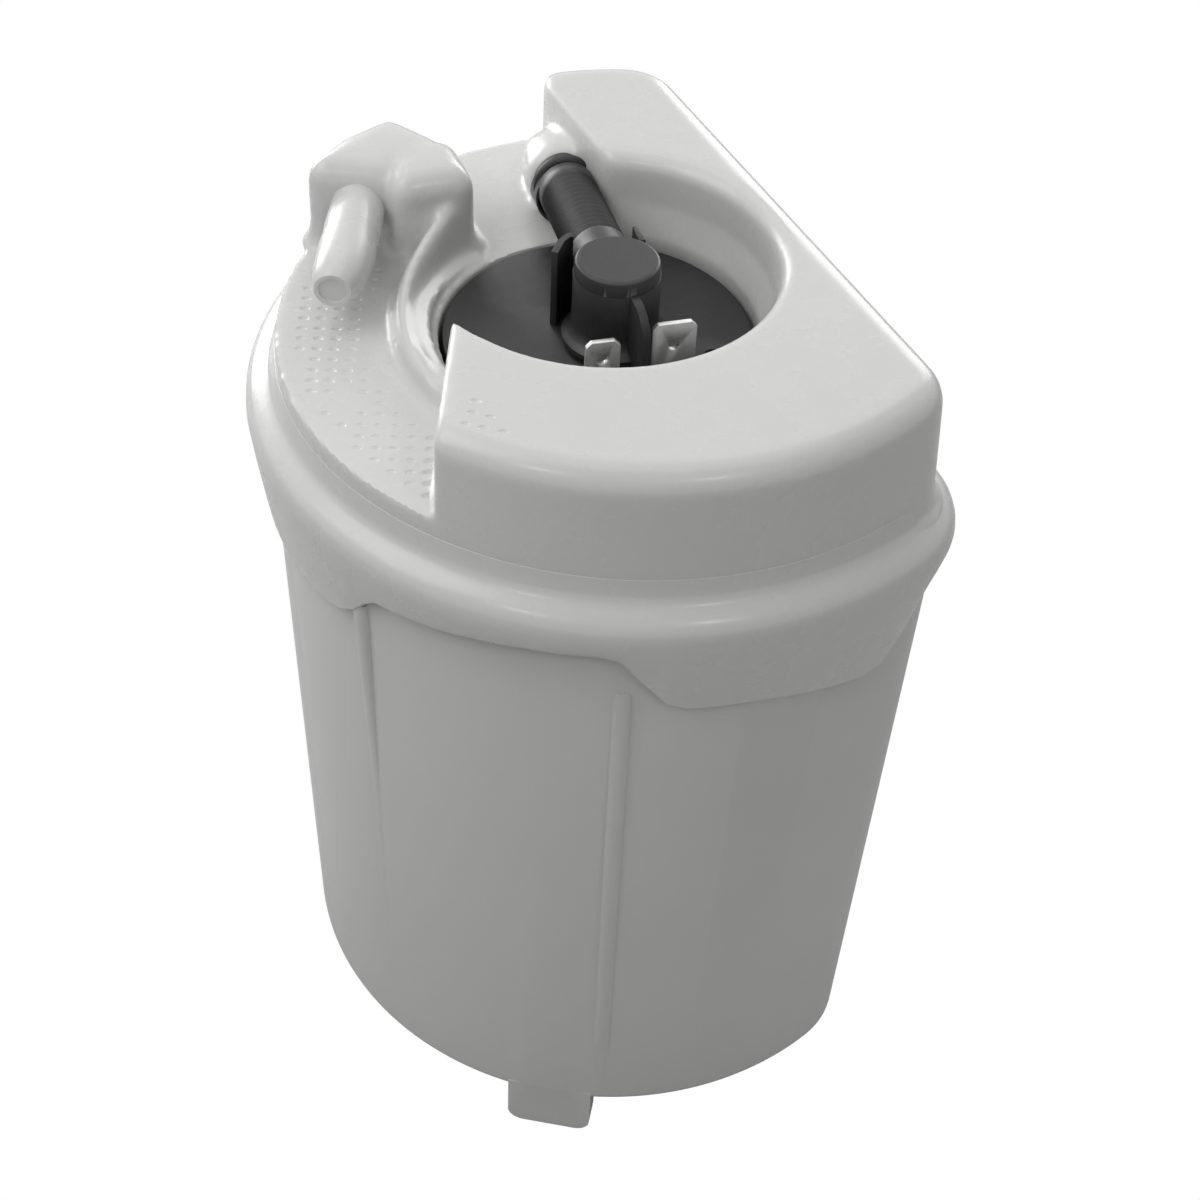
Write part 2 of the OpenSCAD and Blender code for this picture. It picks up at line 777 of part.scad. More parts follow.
// Corrugated hose with a plain cuff at each end, and a flat-topped neck against the head
module outlet_hose() {
    root = hose_r - groove_depth;
    inner = root - hose_wall;
    start = hose_start;
    stop = port_reach + port_depth - 0.6;
    from = start + cuff_len;
    count = floor((stop - cuff_len - 2 - from) / ridge_pitch);
    color("dimgray") {
        along_hose()
            rotate([0, 90, 0])
                rotate_extrude()
                    polygon(concat([[inner, start], [hose_r, start], [hose_r, from]],
                                   [for (i = [0:count - 1], k = [0:3])
                                       [k == 0 || k == 3 ? root : hose_r,
                                        from + ridge_pitch * (i + 0.2 + 0.2 * k + (k > 1 ? 0.1 : 0))]],
                                   [[root, from + ridge_pitch * count + 0.2], [hose_r, from + ridge_pitch * count + 0.4],
                                    [hose_r, stop], [inner, stop]]));
        hose_neck(inner);
    }
}

// The neck fills the room between the round head and the clip
module hose_neck(inner) {
    low = -4.4;
    high = head_top - 0.1 - hose_z;
    translate([head_x, head_y, hose_z])
        rotate([0, 0, hose_turn])
            difference() {
                translate([4.2, -2.9, low]) cube([clip_in - 0.05 - 4.2, 6.7, high - low]);
                cylinder(r = head_r + seat_gap, h = 40, center = true);
                rotate([0, hose_dip, 0]) rod(inner + 0.1, 0, 14);
            }
}

// Rubber ring between the hose cuff and its port
module port_seal() {
    color("black")
        along_hose(port_reach)
            rotate([0, 90, 0])
                tube(port_r - seat_gap, hose_r + seat_gap, -2.4, port_depth - 1.5);
}

// Clip that locks the hose on the head: a back plate with the hose through it, and two side wings
module hose_clip() {
    low = disc_top + seat_gap - hose_z;
    high = head_top - 0.1 - hose_z;
    plate = 1;
    back = clip_in + plate;
    color("dimgray")
        translate([head_x, head_y, hose_z])
            rotate([0, 0, hose_turn])
                difference() {
                    translate([0, 0, low])
                        linear_extrude(high - low)
                            polygon([[5.3, -4.4], [5.3, -5.3], [back, -5], [back, 5], [7.4, 6.7], [4.9, 8.1],
                                     [4.4, 7.3], [clip_in - 0.9, 5.8], [clip_in, 4.8], [clip_in, -4.2]]);
                    rotate([0, hose_dip, 0]) rod(hose_r + seat_gap, 5, 14);
                }
}

module pump_case() {
    top = disc_low;
    color("silver")
        at_pump()
            rotate_extrude()
                polygon([[can_in, cover_low - 0.6], [can_in - 2, cover_low - 0.8], [can_in - 2, can_low + 0.2],
                         [can_r - 0.8, can_low], [can_r, can_low + 0.8], [can_r, top - seat_gap],
                         [can_in, top - seat_gap]]);
}

module magnet(a) {
    color("dimgray")
        at_pump(z = core_low - 2)
            rotate(a - 66)
                rotate_extrude(angle = 132)
                    translate([magnet_in, 0])
                        square([magnet_out - magnet_in, core_len + 4]);
}

module magnet_left() {
    magnet(-90);
}

module magnet_right() {
    magnet(90);
}

// Spring clips that press the magnets against the case
module magnet_clips() {
    color("silver")
        at_pump(z = core_low + 2)
            for (a = [0, 180])
                rotate(a - 22)
                    rotate_extrude(angle = 44)
                        translate([magnet_out - 0.8, 0])
                            square([0.7, core_len - 4]);
}

module armature_core() {
    slot_w = 2.2;
    color("darkgray")
        at_pump(z = core_low)
            linear_extrude(core_len)
                difference() {
                    circle(r = armature_r);
                    circle(r = shaft_r + thin, $fn = 48);
                    for (i = [0:slots - 1])
                        rotate(i * 360 / slots) {
                            translate([armature_r - 1.6, 0]) square([4, 1.4], center = true);
                            translate([armature_r - 5, 0]) circle(r = slot_w, $fn = 32);
                        }
                }
}

// Copper coils in the slots, with a crown above and below the core
module windings() {
    color("peru")
        at_pump() {
            for (z = [core_low - wind_h, core_top])
                translate([0, 0, z])
                    rotate_extrude()
                        polygon([[shaft_r + 2.5, 0.05], [armature_r - 2.5, 0.05], [armature_r - 1.6, 1.5],
                                 [armature_r - 1.6, wind_h - 1.5], [armature_r - 2.5, wind_h - 0.05],
                                 [shaft_r + 2.5, wind_h - 0.05]]);
            for (i = [0:slots - 1])
                rotate(i * 360 / slots)
                    translate([armature_r - 5, 0, core_low - 0.1])
                        cylinder(r = 2.1, h = core_len + 0.2, $fn = 32);
        }
}

module commutator() {
    color("peru")
        at_pump(z = comm_low)
            linear_extrude(comm_h)
                difference() {
                    circle(r = comm_r);
                    circle(r = shaft_r + thin, $fn = 48);
                    for (i = [0:bars - 1])
                        rotate(i * 360 / bars)
                            translate([comm_r, 0]) square([1.6, 0.5], center = true);
                }
}

module shaft() {
    color("silver")
        at_pump(z = shaft_low)
            cylinder(r = shaft_r, h = shaft_top - shaft_low);
}

// Side-channel impeller with open blades round its edge
module impeller() {
    depth = 2.4;
    blade_gap = 360 / blades;
    color("ivory")
        at_pump(z = stage_low + side_gap)
            linear_extrude(impeller_t)
                difference() {
                    circle(r = impeller_r);
                    circle(r = shaft_r + thin, $fn = 48);
                    for (i = [0:blades - 1])
                        rotate(i * blade_gap)
                            translate([impeller_r - depth, -1.3]) square([depth + 1, 2.6]);
                }
}

module chamber_ring() {
    color("silver") at_pump() tube(plug_r, impeller_r + 0.3, stage_low, plate_low);
}

module chamber_plate() {
    color("silver")
        at_pump()
            difference() {
                translate([0, 0, plate_low]) cylinder(r = plug_r, h = plate_t);
                translate([0, 0, plate_low - 1]) cylinder(r = bush_r, h = plate_t + 2);
                rotate(200) translate([impeller_r - 2.4, 0, plate_low - 1]) cylinder(r = 2, h = plate_t + 2);
            }
}

module inlet_cover() {
    neck_low = floor_top + neck_lift;
    color("silver")
        at_pump()
            difference() {
                union() {
                    translate([0, 0, cover_low]) cylinder(r = plug_r, h = cover_t);
                    translate([neck_x, 0, neck_low]) cylinder(r = neck_r, h = cover_low - neck_low + 1);
                }
                translate([neck_x, 0, neck_low - 1]) cylinder(r = neck_r - 2, h = 40);
                translate([0, 0, shaft_low - 0.6]) cylinder(r = shaft_r + 0.6, h = 20);
            }
}

module lower_bush() {
    color("goldenrod") at_pump() tube(bush_r - 0.01, shaft_r + shaft_gap, plate_low, plate_low + plate_t);
}

module upper_bush() {
    color("goldenrod") at_pump() tube(5, shaft_r + shaft_gap, body_low + 0.05, body_low + bush_h - 0.05);
}

// A carbon brush lies radially against the commutator
module brush(s) {
    color("dimgray")
        at_pump()
            translate([s * (comm_r + 0.1 + brush_len / 2), 0, comm_low + comm_h / 2])
                cube([brush_len, brush_w, brush_w], center = true);
}

module brush_front() {
    brush(1);
}

module brush_rear() {
    brush(-1);
}

module brush_spring(s) {
    start = comm_r + 0.1 + brush_len + 0.05;
    color("silver")
        at_pump()
            translate([s * start, 0, comm_low + comm_h / 2])
                rotate([0, 90 * s, 0])
                    coil_spring(2, 0.25, plug_r - start - 0.1, 5);
}

module brush_spring_front() {
    brush_spring(1);
}

module brush_spring_rear() {
    brush_spring(-1);
}

module suppressor_chokes() {
    color("dimgray")
        for (x = [wide_x, narrow_x])
            translate([x, blade_y, body_low + 1])
                cylinder(r = choke_r, h = disc_low - body_low - 3.5);
}

module check_valve_seat() {
    color("goldenrod")
        translate([head_x, head_y, 0])
            tube(valve_bore_r - 0.01, 2.2, valve_low, seat_top);
}

// Welded plug that closes the valve bore and makes the flat top of the head
module outlet_head_plug() {
    color("dimgray")
        translate([head_x, head_y, 0]) {
            translate([0, 0, head_top - plug_t + seat_gap]) cylinder(r = head_r, h = plug_t - seat_gap);
            translate([0, 0, valve_roof]) cylinder(r = valve_bore_r - seat_gap, h = plug_depth + plug_t);
        }
}

// Poppet with a shoulder for its spring and a short guide stem
module check_valve_poppet() {
    low = seat_top + 0.05;
    color("ivory")
        translate([head_x, head_y, 0])
            rotate_extrude()
                polygon([[0, low - 1], [1.9, low - 1], [1.9, low], [3.1, low], [3.1, low + 1],
                         [2.1, low + 1], [1.4, low + poppet_h], [1.4, low + poppet_h + 1.6], [0, low + poppet_h + 1.6]]);
}

module check_valve_spring() {
    low = seat_top + 1 + 2 * seat_gap;
    color("silver")
        translate([head_x, head_y, low])
            coil_spring(2.9, 0.25, valve_roof - low - 0.05, 5);
}

module relief_valve_seat() {
    color("goldenrod")
        translate([relief_x, relief_y, 0])
            tube(relief_bore_r - 0.01, 1.2, relief_seat_top - relief_seat_h, relief_seat_top);
}

module relief_valve_ball() {
    lift = sqrt(pow(ball_r, 2) - pow(1.2, 2));
    color("silver")
        translate([relief_x, relief_y, relief_seat_top + lift + 0.05])
            sphere(r = ball_r);
}

module relief_valve_spring() {
    wire = 0.2;
    coil_r = ball_r - 0.25;
    ball_z = relief_seat_top + seat_gap + sqrt(pow(ball_r, 2) - pow(1.2, 2));
    low = ball_z + sqrt(pow(ball_r + wire + seat_gap, 2) - pow(coil_r - wire, 2)) - wire;
    color("silver")
        translate([relief_x, relief_y, low])
            coil_spring(coil_r, wire, relief_roof - low - seat_gap, 4);
}

// Ribbed rubber ring between the pump case and the sleeve
module upper_damper() {
    z0 = deck_z - sleeve_len + 1;
    h = 12;
    color("black")
        at_pump()
            rotate_extrude()
                polygon([[can_r + seat_gap, z0], [well_low_r - seat_gap, z0], [well_low_r - seat_gap, z0 + 3],
                         [well_low_r - 0.6, z0 + 4], [well_low_r - 0.6, z0 + h - 4],
                         [well_low_r - seat_gap, z0 + h - 3], [well_low_r - seat_gap, z0 + h],
                         [can_r + seat_gap, z0 + h]]);
}

module lower_mount() {
    z0 = can_low - mount_drop;
    top = z0 + mount_lap;
    color("black")
        at_pump()
            rotate_extrude()
                polygon([[can_in - 2, z0], [can_r + mount_out, z0], [can_r + mount_out, top], [can_r + seat_gap, top],
                         [can_r + seat_gap, can_low], [can_in - 2, can_low]]);
}

// Shallow strainer on the pump's inlet neck
module inlet_strainer() {
    r = 16;
    color("darkolivegreen")
        at_pump()
            difference() {
                union() {
                    translate([3, 0, floor_top + 0.3]) cylinder(r = r - 2, h = 4.2);
                    translate([neck_x, 0, floor_top + 0.3]) cylinder(r = neck_r + 1.7, h = 6.2);
                }
                translate([neck_x, 0, floor_top + 2.9]) cylinder(r = neck_r + seat_gap, h = 10);
            }
}

module jet_feed_tube() {
    color("whitesmoke")
        translate([jet_x, jet_y, 0])
            tube(feed_r, feed_in_r, jet_z + 4, duct_z - socket_len + 8 - seat_gap);
}

module feed_tube_seal() {
    color("black")
        translate([jet_x, jet_y, duct_z - socket_len])
            rotate_extrude()
                translate([feed_r + ring_wire + 0.02, ring_wire])
                    circle(r = ring_wire - 0.01, $fn = 24);
}

// Elbow on the floor that turns the feed into a jet
module jet_body() {
    color("whitesmoke")
        translate([jet_x, jet_y, 0])
            difference() {
                union() {
                    translate([0, 0, floor_top]) cylinder(r = feed_r + 2, h = jet_z + 9 - floor_top);
                    translate([0, 0, jet_z]) rotate([0, 0, jet_turn()]) rotate([0, 90, 0])
                        cylinder(r1 = 3.4, r2 = 1.8, h = 11);
                }
                translate([0, 0, jet_z + 4]) cylinder(r = feed_r + seat_gap, h = 10);
                translate([0, 0, jet_z]) cylinder(r = feed_in_r, h = 10);
                translate([0, 0, jet_z]) rotate([0, 0, jet_turn()]) rotate([0, 90, 0])
                    cylinder(r = 0.6, h = 12, $fn = 32);
            }
}

function jet_turn() = atan2(foot_y - jet_y, foot_x - jet_x);

// Tube that the jet blows into, on two feet
module mixing_tube() {
    start = 18;
    length = 26;
    color("whitesmoke")
        translate([jet_x, jet_y, jet_z])
            rotate([0, 0, jet_turn()])
                difference() {
                    union() {
                        rod(3.8, start, start + length);
                        for (d = [start + 6, start + length - 9])
                            translate([d, -3, floor_top - jet_z]) cube([3, 6, 5]);
                    }
                    rod(2.5, start - 1, start + length + 1);
                    translate([start - thin, 0, 0])
                        rotate([0, 90, 0]) cylinder(r1 = 3.4, r2 = 2.5, h = 3);
                }
}

// Umbrella valve: a soft disc over the floor holes, held by a bulb below
module foot_valve() {
    color("black")
        translate([foot_x, foot_y, 0])
            rotate_extrude()
                polygon([[0, 4.2], [1.6, 4.6], [2.4, lug_h - foot_lift - 0.3], [1.3, lug_h - foot_lift - 0.2],
                         [1.3, floor_top + 0.1], [flap_r, floor_top + 0.1], [flap_r, floor_top + 0.7],
                         [1.6, floor_top + 1.5], [0, floor_top + 1.6]]);
}

module on_axis() {
    translate([axis_x, 0, 0]) children();
}

on_axis() pot();
on_axis() cover();
on_axis() end_cap();
on_axis() terminal_wide();
on_axis() terminal_narrow();
on_axis() outlet_hose();
on_axis() port_seal();
on_axis() hose_clip();
on_axis() pump_case();
on_axis() magnet_left();
on_axis() magnet_right();
on_axis() magnet_clips();
on_axis() armature_core();
on_axis() windings();
on_axis() commutator();
on_axis() shaft();
on_axis() impeller();
on_axis() chamber_ring();
on_axis() chamber_plate();
on_axis() inlet_cover();
on_axis() lower_bush();
on_axis() upper_bush();
on_axis() brush_front();
on_axis() brush_rear();
on_axis() brush_spring_front();
on_axis() brush_spring_rear();
on_axis() suppressor_chokes();
on_axis() check_valve_seat();
on_axis() check_valve_poppet();
on_axis() check_valve_spring();
on_axis() relief_valve_seat();
on_axis() relief_valve_ball();
on_axis() relief_valve_spring();
on_axis() outlet_head_plug();
on_axis() upper_damper();
on_axis() lower_mount();
on_axis() inlet_strainer();
on_axis() jet_feed_tube();
on_axis() jet_body();
on_axis() mixing_tube();
on_axis() foot_valve();
on_axis() feed_tube_seal();
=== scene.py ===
"""Looks of an in-tank fuel pump: white swirl pot and cover, black pump head, hose and terminals.

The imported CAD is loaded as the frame. The moulded housing, the hose and the pump head are modelled
here around it, and every CAD node that still shows gets its own procedural finish.
"""

import logging
import math
from collections.abc import Iterable, Sequence
from dataclasses import dataclass, field
from enum import Enum

import bmesh
import bpy
from mathutils import Matrix, Vector


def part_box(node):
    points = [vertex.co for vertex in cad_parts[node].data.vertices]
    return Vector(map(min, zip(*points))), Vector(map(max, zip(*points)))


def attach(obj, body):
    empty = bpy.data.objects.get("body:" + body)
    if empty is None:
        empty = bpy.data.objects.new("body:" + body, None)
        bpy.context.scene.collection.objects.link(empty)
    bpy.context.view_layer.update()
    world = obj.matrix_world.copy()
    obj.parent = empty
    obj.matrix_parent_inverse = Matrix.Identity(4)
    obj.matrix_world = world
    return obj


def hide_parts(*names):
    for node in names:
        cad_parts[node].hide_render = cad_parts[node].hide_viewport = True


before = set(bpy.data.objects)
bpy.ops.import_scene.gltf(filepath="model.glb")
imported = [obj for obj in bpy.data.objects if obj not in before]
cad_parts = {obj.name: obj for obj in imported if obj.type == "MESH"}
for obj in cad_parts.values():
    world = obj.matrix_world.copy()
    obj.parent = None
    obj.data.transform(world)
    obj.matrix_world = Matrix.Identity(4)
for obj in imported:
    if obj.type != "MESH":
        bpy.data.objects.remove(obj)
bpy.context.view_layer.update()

LOG = logging.getLogger("fuel_pump")
MM = 0.001
RING_COUNT = 240
HOUSING = "housing"
UP = Vector((0, 0, 1))


# ---------------------------------------------------------------- bench tools


def cad_box(node: str) -> tuple[Vector, Vector]:
    """Box of a CAD node at rest.

    Args:
        node: Name of the node.

    Returns:
        Its lowest and highest corner in millimetres.
    """
    low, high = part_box(node)
    return Vector(low) / MM, Vector(high) / MM


def clear_selection() -> None:
    """Leaves edit mode and deselects everything."""
    if bpy.context.object is not None and bpy.context.object.mode != "OBJECT":
        bpy.ops.object.mode_set(mode="OBJECT")
    bpy.ops.object.select_all(action="DESELECT")


def activate(piece: bpy.types.Object) -> None:
    """Selects one piece alone and makes it active."""
    clear_selection()
    piece.select_set(True)
    bpy.context.view_layer.objects.active = piece


def apply_modifier(piece: bpy.types.Object, kind: str, **settings: object) -> None:
    """Adds a modifier, sets it and applies it.

    Args:
        piece: Mesh to change.
        kind: Modifier type, as bpy names it.
        **settings: Properties of the modifier.
    """
    modifier = piece.modifiers.new(kind.title(), kind)
    for name, value in settings.items():
        setattr(modifier, name, value)
    activate(piece)
    bpy.ops.object.modifier_apply(modifier=modifier.name)


def combine(piece: bpy.types.Object, other: bpy.types.Object, operation: str) -> None:
    """Applies a Boolean with another closed mesh, which is then removed.

    Args:
        piece: Mesh that stays.
        other: Mesh that is used up.
        operation: UNION, DIFFERENCE or INTERSECT.
    """
    apply_modifier(piece, "BOOLEAN", operation=operation, object=other, solver="MANIFOLD")
    bpy.data.objects.remove(other, do_unlink=True)


def add_to(piece: bpy.types.Object, others: Iterable[bpy.types.Object]) -> None:
    """Unites other closed meshes with a piece."""
    for other in others:
        combine(piece, other, "UNION")


def cut_from(piece: bpy.types.Object, others: Iterable[bpy.types.Object]) -> None:
    """Cuts other closed meshes out of a piece."""
    for other in others:
        combine(piece, other, "DIFFERENCE")


def join_loose(name: str, parts: Sequence[bpy.types.Object]) -> bpy.types.Object:
    """Joins meshes into one object without a Boolean.

    Args:
        name: Name of the joined object.
        parts: Objects to join.

    Returns:
        The joined object.
    """
    clear_selection()
    for part in parts:
        part.select_set(True)
    bpy.context.view_layer.objects.active = parts[0]
    if len(parts) > 1:
        bpy.ops.object.join()
    parts[0].name = name
    return parts[0]


def smooth_shade(piece: bpy.types.Object, degrees: float = 32.0) -> None:
    """Shades a piece smooth, with edges above an angle kept sharp."""
    activate(piece)
    bpy.ops.object.shade_smooth_by_angle(angle=math.radians(degrees))


def clamp(value: float, low: float = 0.0, high: float = 1.0) -> float:
    """A value held between two bounds."""
    return min(max(value, low), high)


def arc(first: float, last: float, steps: int) -> list[float]:
    """Evenly spaced angles from the first to the last, both kept."""
    return [first + (last - first) * i / steps for i in range(steps + 1)]


def circle_ring(radius: float, z: float, x: float = 0.0, y: float = 0.0,
                count: int = RING_COUNT) -> list[Vector]:
    """Points round a level circle, in millimetres."""
    return [Vector((x + radius * math.cos(a), y + radius * math.sin(a), z))
            for a in arc(0, 2 * math.pi, count)[:-1]]


def axial_ring(origin: Vector, axis: Vector, radius: float, along: float,
               count: int = 64) -> list[Vector]:
    """Points of a circle across an axis.

    Args:
        origin: Where the axis starts, in millimetres.
        axis: Direction of the axis, of length one.
        radius: Radius of the circle.
        along: Distance of the circle from the origin.
        count: Number of points.

    Returns:
        The points, in order round the axis.
    """
    side = axis.cross(UP).normalized()
    rise = side.cross(axis)
    centre = origin + axis * along
    return [centre + side * (radius * math.cos(a)) + rise * (radius * math.sin(a))
            for a in arc(0, 2 * math.pi, count)[:-1]]


def loft(name: str, rings: Sequence[Sequence[Vector]],
         closed: bool = False) -> bpy.types.Object:
    """Lofts a solid through rings that have the same number of points.

    A circle is extruded once for each further ring, and each copy is moved to its own ring.

    Args:
        name: Name of the object.
        rings: Rings of points in millimetres, in order.
        closed: True leaves out the two end faces, for a last ring that is to meet the first. The
            bridge between the two needs edge select mode, which isn't set here, so that one
            seam stays open.

    Returns:
        The solid, with its place in its mesh.
    """
    clear_selection()
    bpy.ops.mesh.primitive_circle_add(vertices=len(rings[0]), radius=1.0, fill_type="NOTHING")
    piece = bpy.context.object
    piece.name = name
    bpy.ops.object.mode_set(mode="EDIT")
    mesh = bmesh.from_edit_mesh(piece.data)
    place = mesh.verts.layers.int.new("place")
    for index, vertex in enumerate(mesh.verts):
        vertex[place] = index
        vertex.co = rings[0][index] * MM
    if not closed:
        bpy.ops.mesh.edge_face_add()
        bpy.ops.mesh.select_all(action="SELECT")
    extrude = bpy.ops.mesh.extrude_edges_move if closed else bpy.ops.mesh.extrude_region_move
    for ring in rings[1:]:
        extrude()
        mesh = bmesh.from_edit_mesh(piece.data)
        place = mesh.verts.layers.int["place"]
        for vertex in mesh.verts:
            if vertex.select:
                vertex.co = ring[vertex[place]] * MM
    if closed:
        mesh = bmesh.from_edit_mesh(piece.data)
        for edge in mesh.edges:
            edge.select_set(edge.is_boundary)
        bpy.ops.mesh.bridge_edge_loops()
    bpy.ops.mesh.select_all(action="SELECT")
    bpy.ops.mesh.normals_make_consistent(inside=False)
    bpy.ops.object.mode_set(mode="OBJECT")
    return piece


def turned(name: str, profile: Sequence[tuple[float, float]], x: float = 0.0, y: float = 0.0,
           count: int = RING_COUNT, closed: bool = False) -> bpy.types.Object:
    """Lofts a round solid about an upright line.

    Args:
        name: Name of the object.
        profile: Radius and height of each ring in millimetres, in order.
        x: Place of the line along X, in millimetres.
        y: Its place along Y.
        count: Points of a ring.
        closed: True leaves out the two end faces, as loft does.

    Returns:
        The solid.
    """
    return loft(name, [circle_ring(r, z, x, y, count) for r, z in profile], closed)


def drawn(name: str, origin: Vector, axis: Vector, profile: Sequence[tuple[float, float]],
          count: int = 64, closed: bool = False) -> bpy.types.Object:
    """Lofts a round solid along an axis.

    Args:
        name: Name of the object.
        origin: Where the axis starts, in millimetres.
        axis: Direction of the axis, of length one.
        profile: Radius of each ring and its distance along the axis, in order.
        count: Points of a ring.
        closed: True leaves out the two end faces, as loft does.

    Returns:
        The solid.
    """
    return loft(name, [axial_ring(origin, axis, r, along, count) for r, along in profile], closed)


def block(name: str, low: Vector, high: Vector, turn: float = 0.0,
          pivot: Vector | None = None) -> bpy.types.Object:
    """Adds a box between two corners and turns it about a vertical line.

    Args:
        name: Name of the object.
        low: Lowest corner in millimetres.
        high: Highest corner in millimetres.
        turn: Angle in degrees about the pivot.
        pivot: Point of the vertical line that the box turns about.

    Returns:
        The box, with its place in its mesh.
    """
    clear_selection()
    bpy.ops.mesh.primitive_cube_add(size=1.0)
    piece = bpy.context.object
    piece.name = name
    place = Matrix.Translation((low + high) / 2) @ Matrix.Diagonal((*(high - low), 1.0))
    if turn:
        about = Matrix.Translation(pivot or Vector())
        place = about @ Matrix.Rotation(math.radians(turn), 4, "Z") @ about.inverted() @ place
    piece.data.transform(Matrix.Scale(MM, 4) @ place)
    return piece


def prism(name: str, outline: Sequence[tuple[float, float]], z_low: float,
          z_high: float) -> bpy.types.Object:
    """Raises a straight-sided solid on an outline in plan."""
    return loft(name, [[Vector((x, y, z)) for x, y in outline] for z in (z_low, z_high)])


def dress(piece: bpy.types.Object, finish: "Finish", nodes: Sequence[str] = (),
          body: str = HOUSING) -> bpy.types.Object:
    """Gives a new piece its finish, its body and the CAD nodes that it stands for.

    Args:
        piece: The finished mesh.
        finish: Finish of its surface.
        nodes: CAD nodes that it replaces.
        body: CAD body that it moves with.

    Returns:
        The piece.
    """
    piece.data.materials.clear()
    piece.data.materials.append(finish.material())
    if nodes:
        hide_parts(*nodes)
    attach(piece, body)
    LOG.info("%s: %d faces", piece.name, len(piece.data.polygons))
    return piece


# ------------------------------------------------------------------- finishes

# Scale at which one band of a wave texture is one unit wide.
BAND_SCALE = 0.314


def set_inputs(node: bpy.types.Node, **values: object) -> bpy.types.Node:
    """Sets inputs of a shader node.

    Args:
        node: Node to set.
        **values: Values by the names of the inputs, with _ in place of a blank.

    Returns:
        The node.
    """
    for name, value in values.items():
        node.inputs[name.replace("_", " ")].default_value = value
    return node
class Grain(Enum):
    """How the fine relief of a finish runs."""

    CLOUDY = "cloudy"
    BRUSHED = "brushed"
    TURNED = "turned"
    WOVEN = "woven"
    STACKED = "stacked"


@dataclass(frozen=True)
class Finish:
    """A procedural finish: a base colour that varies, a varying roughness and a fine relief."""

    name: str
    colour: tuple[float, float, float]
    roughness: float = 0.4
    metallic: float = 0.0
    shade_change: float = 0.04
    cloud_size: float = 12.0
    roughness_change: float = 0.08
    relief: float = 0.06
    relief_size: float = 0.5
    grain: Grain = Grain.CLOUDY
    coat: float = 0.0
    sheen: float = 0.0
    depth_glow: float = 0.0

    def material(self) -> bpy.types.Material:
        """Returns the finish as a material, made once."""
        found = bpy.data.materials.get(self.name)
        if found is not None:
            return found
        material = bpy.data.materials.new(self.name)
        material.use_nodes = True
        nodes, links = material.node_tree.nodes, material.node_tree.links
        shader = set_inputs(nodes["Principled BSDF"], Metallic=self.metallic,
                            Coat_Weight=self.coat, Coat_Roughness=0.12, Sheen_Weight=self.sheen,
                            Subsurface_Weight=self.depth_glow,
                            Subsurface_Radius=(0.004, 0.004, 0.004), Subsurface_Scale=1.0)
        place = nodes.new("ShaderNodeTexCoord").outputs["Object"]
        clouds = self._noise(nodes, links, place, self.cloud_size, 3.0)
        tint = set_inputs(nodes.new("ShaderNodeMapRange"), To_Min=1.0 - self.shade_change,
                          To_Max=1.0 + self.shade_change)
        links.new(clouds, tint.inputs["Value"])
        shade = nodes.new("ShaderNodeMix")
        shade.data_type = "RGBA"
        shade.blend_type = "MULTIPLY"
        set_inputs(shade, Factor=1.0, A=(*self.colour, 1.0))
        links.new(tint.outputs["Result"], shade.inputs["B"])
        links.new(shade.outputs["Result"], shader.inputs["Base Color"])
        marks = self._noise(nodes, links, place, self.cloud_size * 0.35, 5.0)
        gloss = set_inputs(nodes.new("ShaderNodeMapRange"),
                           To_Min=max(self.roughness - self.roughness_change, 0.03),
                           To_Max=self.roughness + self.roughness_change)
        links.new(marks, gloss.inputs["Value"])
        links.new(gloss.outputs["Result"], shader.inputs["Roughness"])
        bump = set_inputs(nodes.new("ShaderNodeBump"), Strength=self.relief, Distance=0.0002)
        links.new(self._relief(nodes, links, place), bump.inputs["Height"])
        links.new(bump.outputs["Normal"], shader.inputs["Normal"])
        return material

    def _noise(self, nodes: bpy.types.Nodes, links: bpy.types.NodeLinks,
               source: bpy.types.NodeSocket, size: float, detail: float,
               stretch: tuple[float, float, float] = (1, 1, 1)) -> bpy.types.NodeSocket:
        """Adds a noise.

        Args:
            nodes: Nodes of the material.
            links: Links of the material.
            source: Coordinates to read.
            size: Width of one cloud in millimetres.
            detail: Octaves of the noise.
            stretch: Factor of length along each axis.

        Returns:
            The socket that gives the noise.
        """
        mapping = set_inputs(nodes.new("ShaderNodeMapping"),
                             Scale=[1.0 / (size * MM * s) for s in stretch])
        noise = set_inputs(nodes.new("ShaderNodeTexNoise"), Scale=1.0, Detail=detail)
        links.new(source, mapping.inputs["Vector"])
        links.new(mapping.outputs["Vector"], noise.inputs["Vector"])
        return noise.outputs["Fac"]

    def _relief(self, nodes: bpy.types.Nodes, links: bpy.types.NodeLinks,
                source: bpy.types.NodeSocket) -> bpy.types.NodeSocket:
        """Adds the fine relief and returns its height socket."""
        if self.grain in (Grain.WOVEN, Grain.STACKED):
            waves = []
            for direction in "Z" if self.grain is Grain.STACKED else "XY":
                wave = set_inputs(nodes.new("ShaderNodeTexWave"),
                                  Scale=BAND_SCALE / (self.relief_size * MM))
                wave.bands_direction = direction
                links.new(source, wave.inputs["Vector"])
                waves.append(wave.outputs["Fac"])
            if len(waves) == 1:
                return waves[0]
            cross = nodes.new("ShaderNodeMath")
            cross.operation = "MAXIMUM"
            for wave, socket in zip(waves, cross.inputs):
                links.new(wave, socket)
            return cross.outputs["Value"]
        stretch = {Grain.CLOUDY: (1, 1, 1), Grain.BRUSHED: (1, 1, 18),
                   Grain.TURNED: (18, 18, 1)}[self.grain]
        return self._noise(nodes, links, source, self.relief_size, 4.0, stretch)


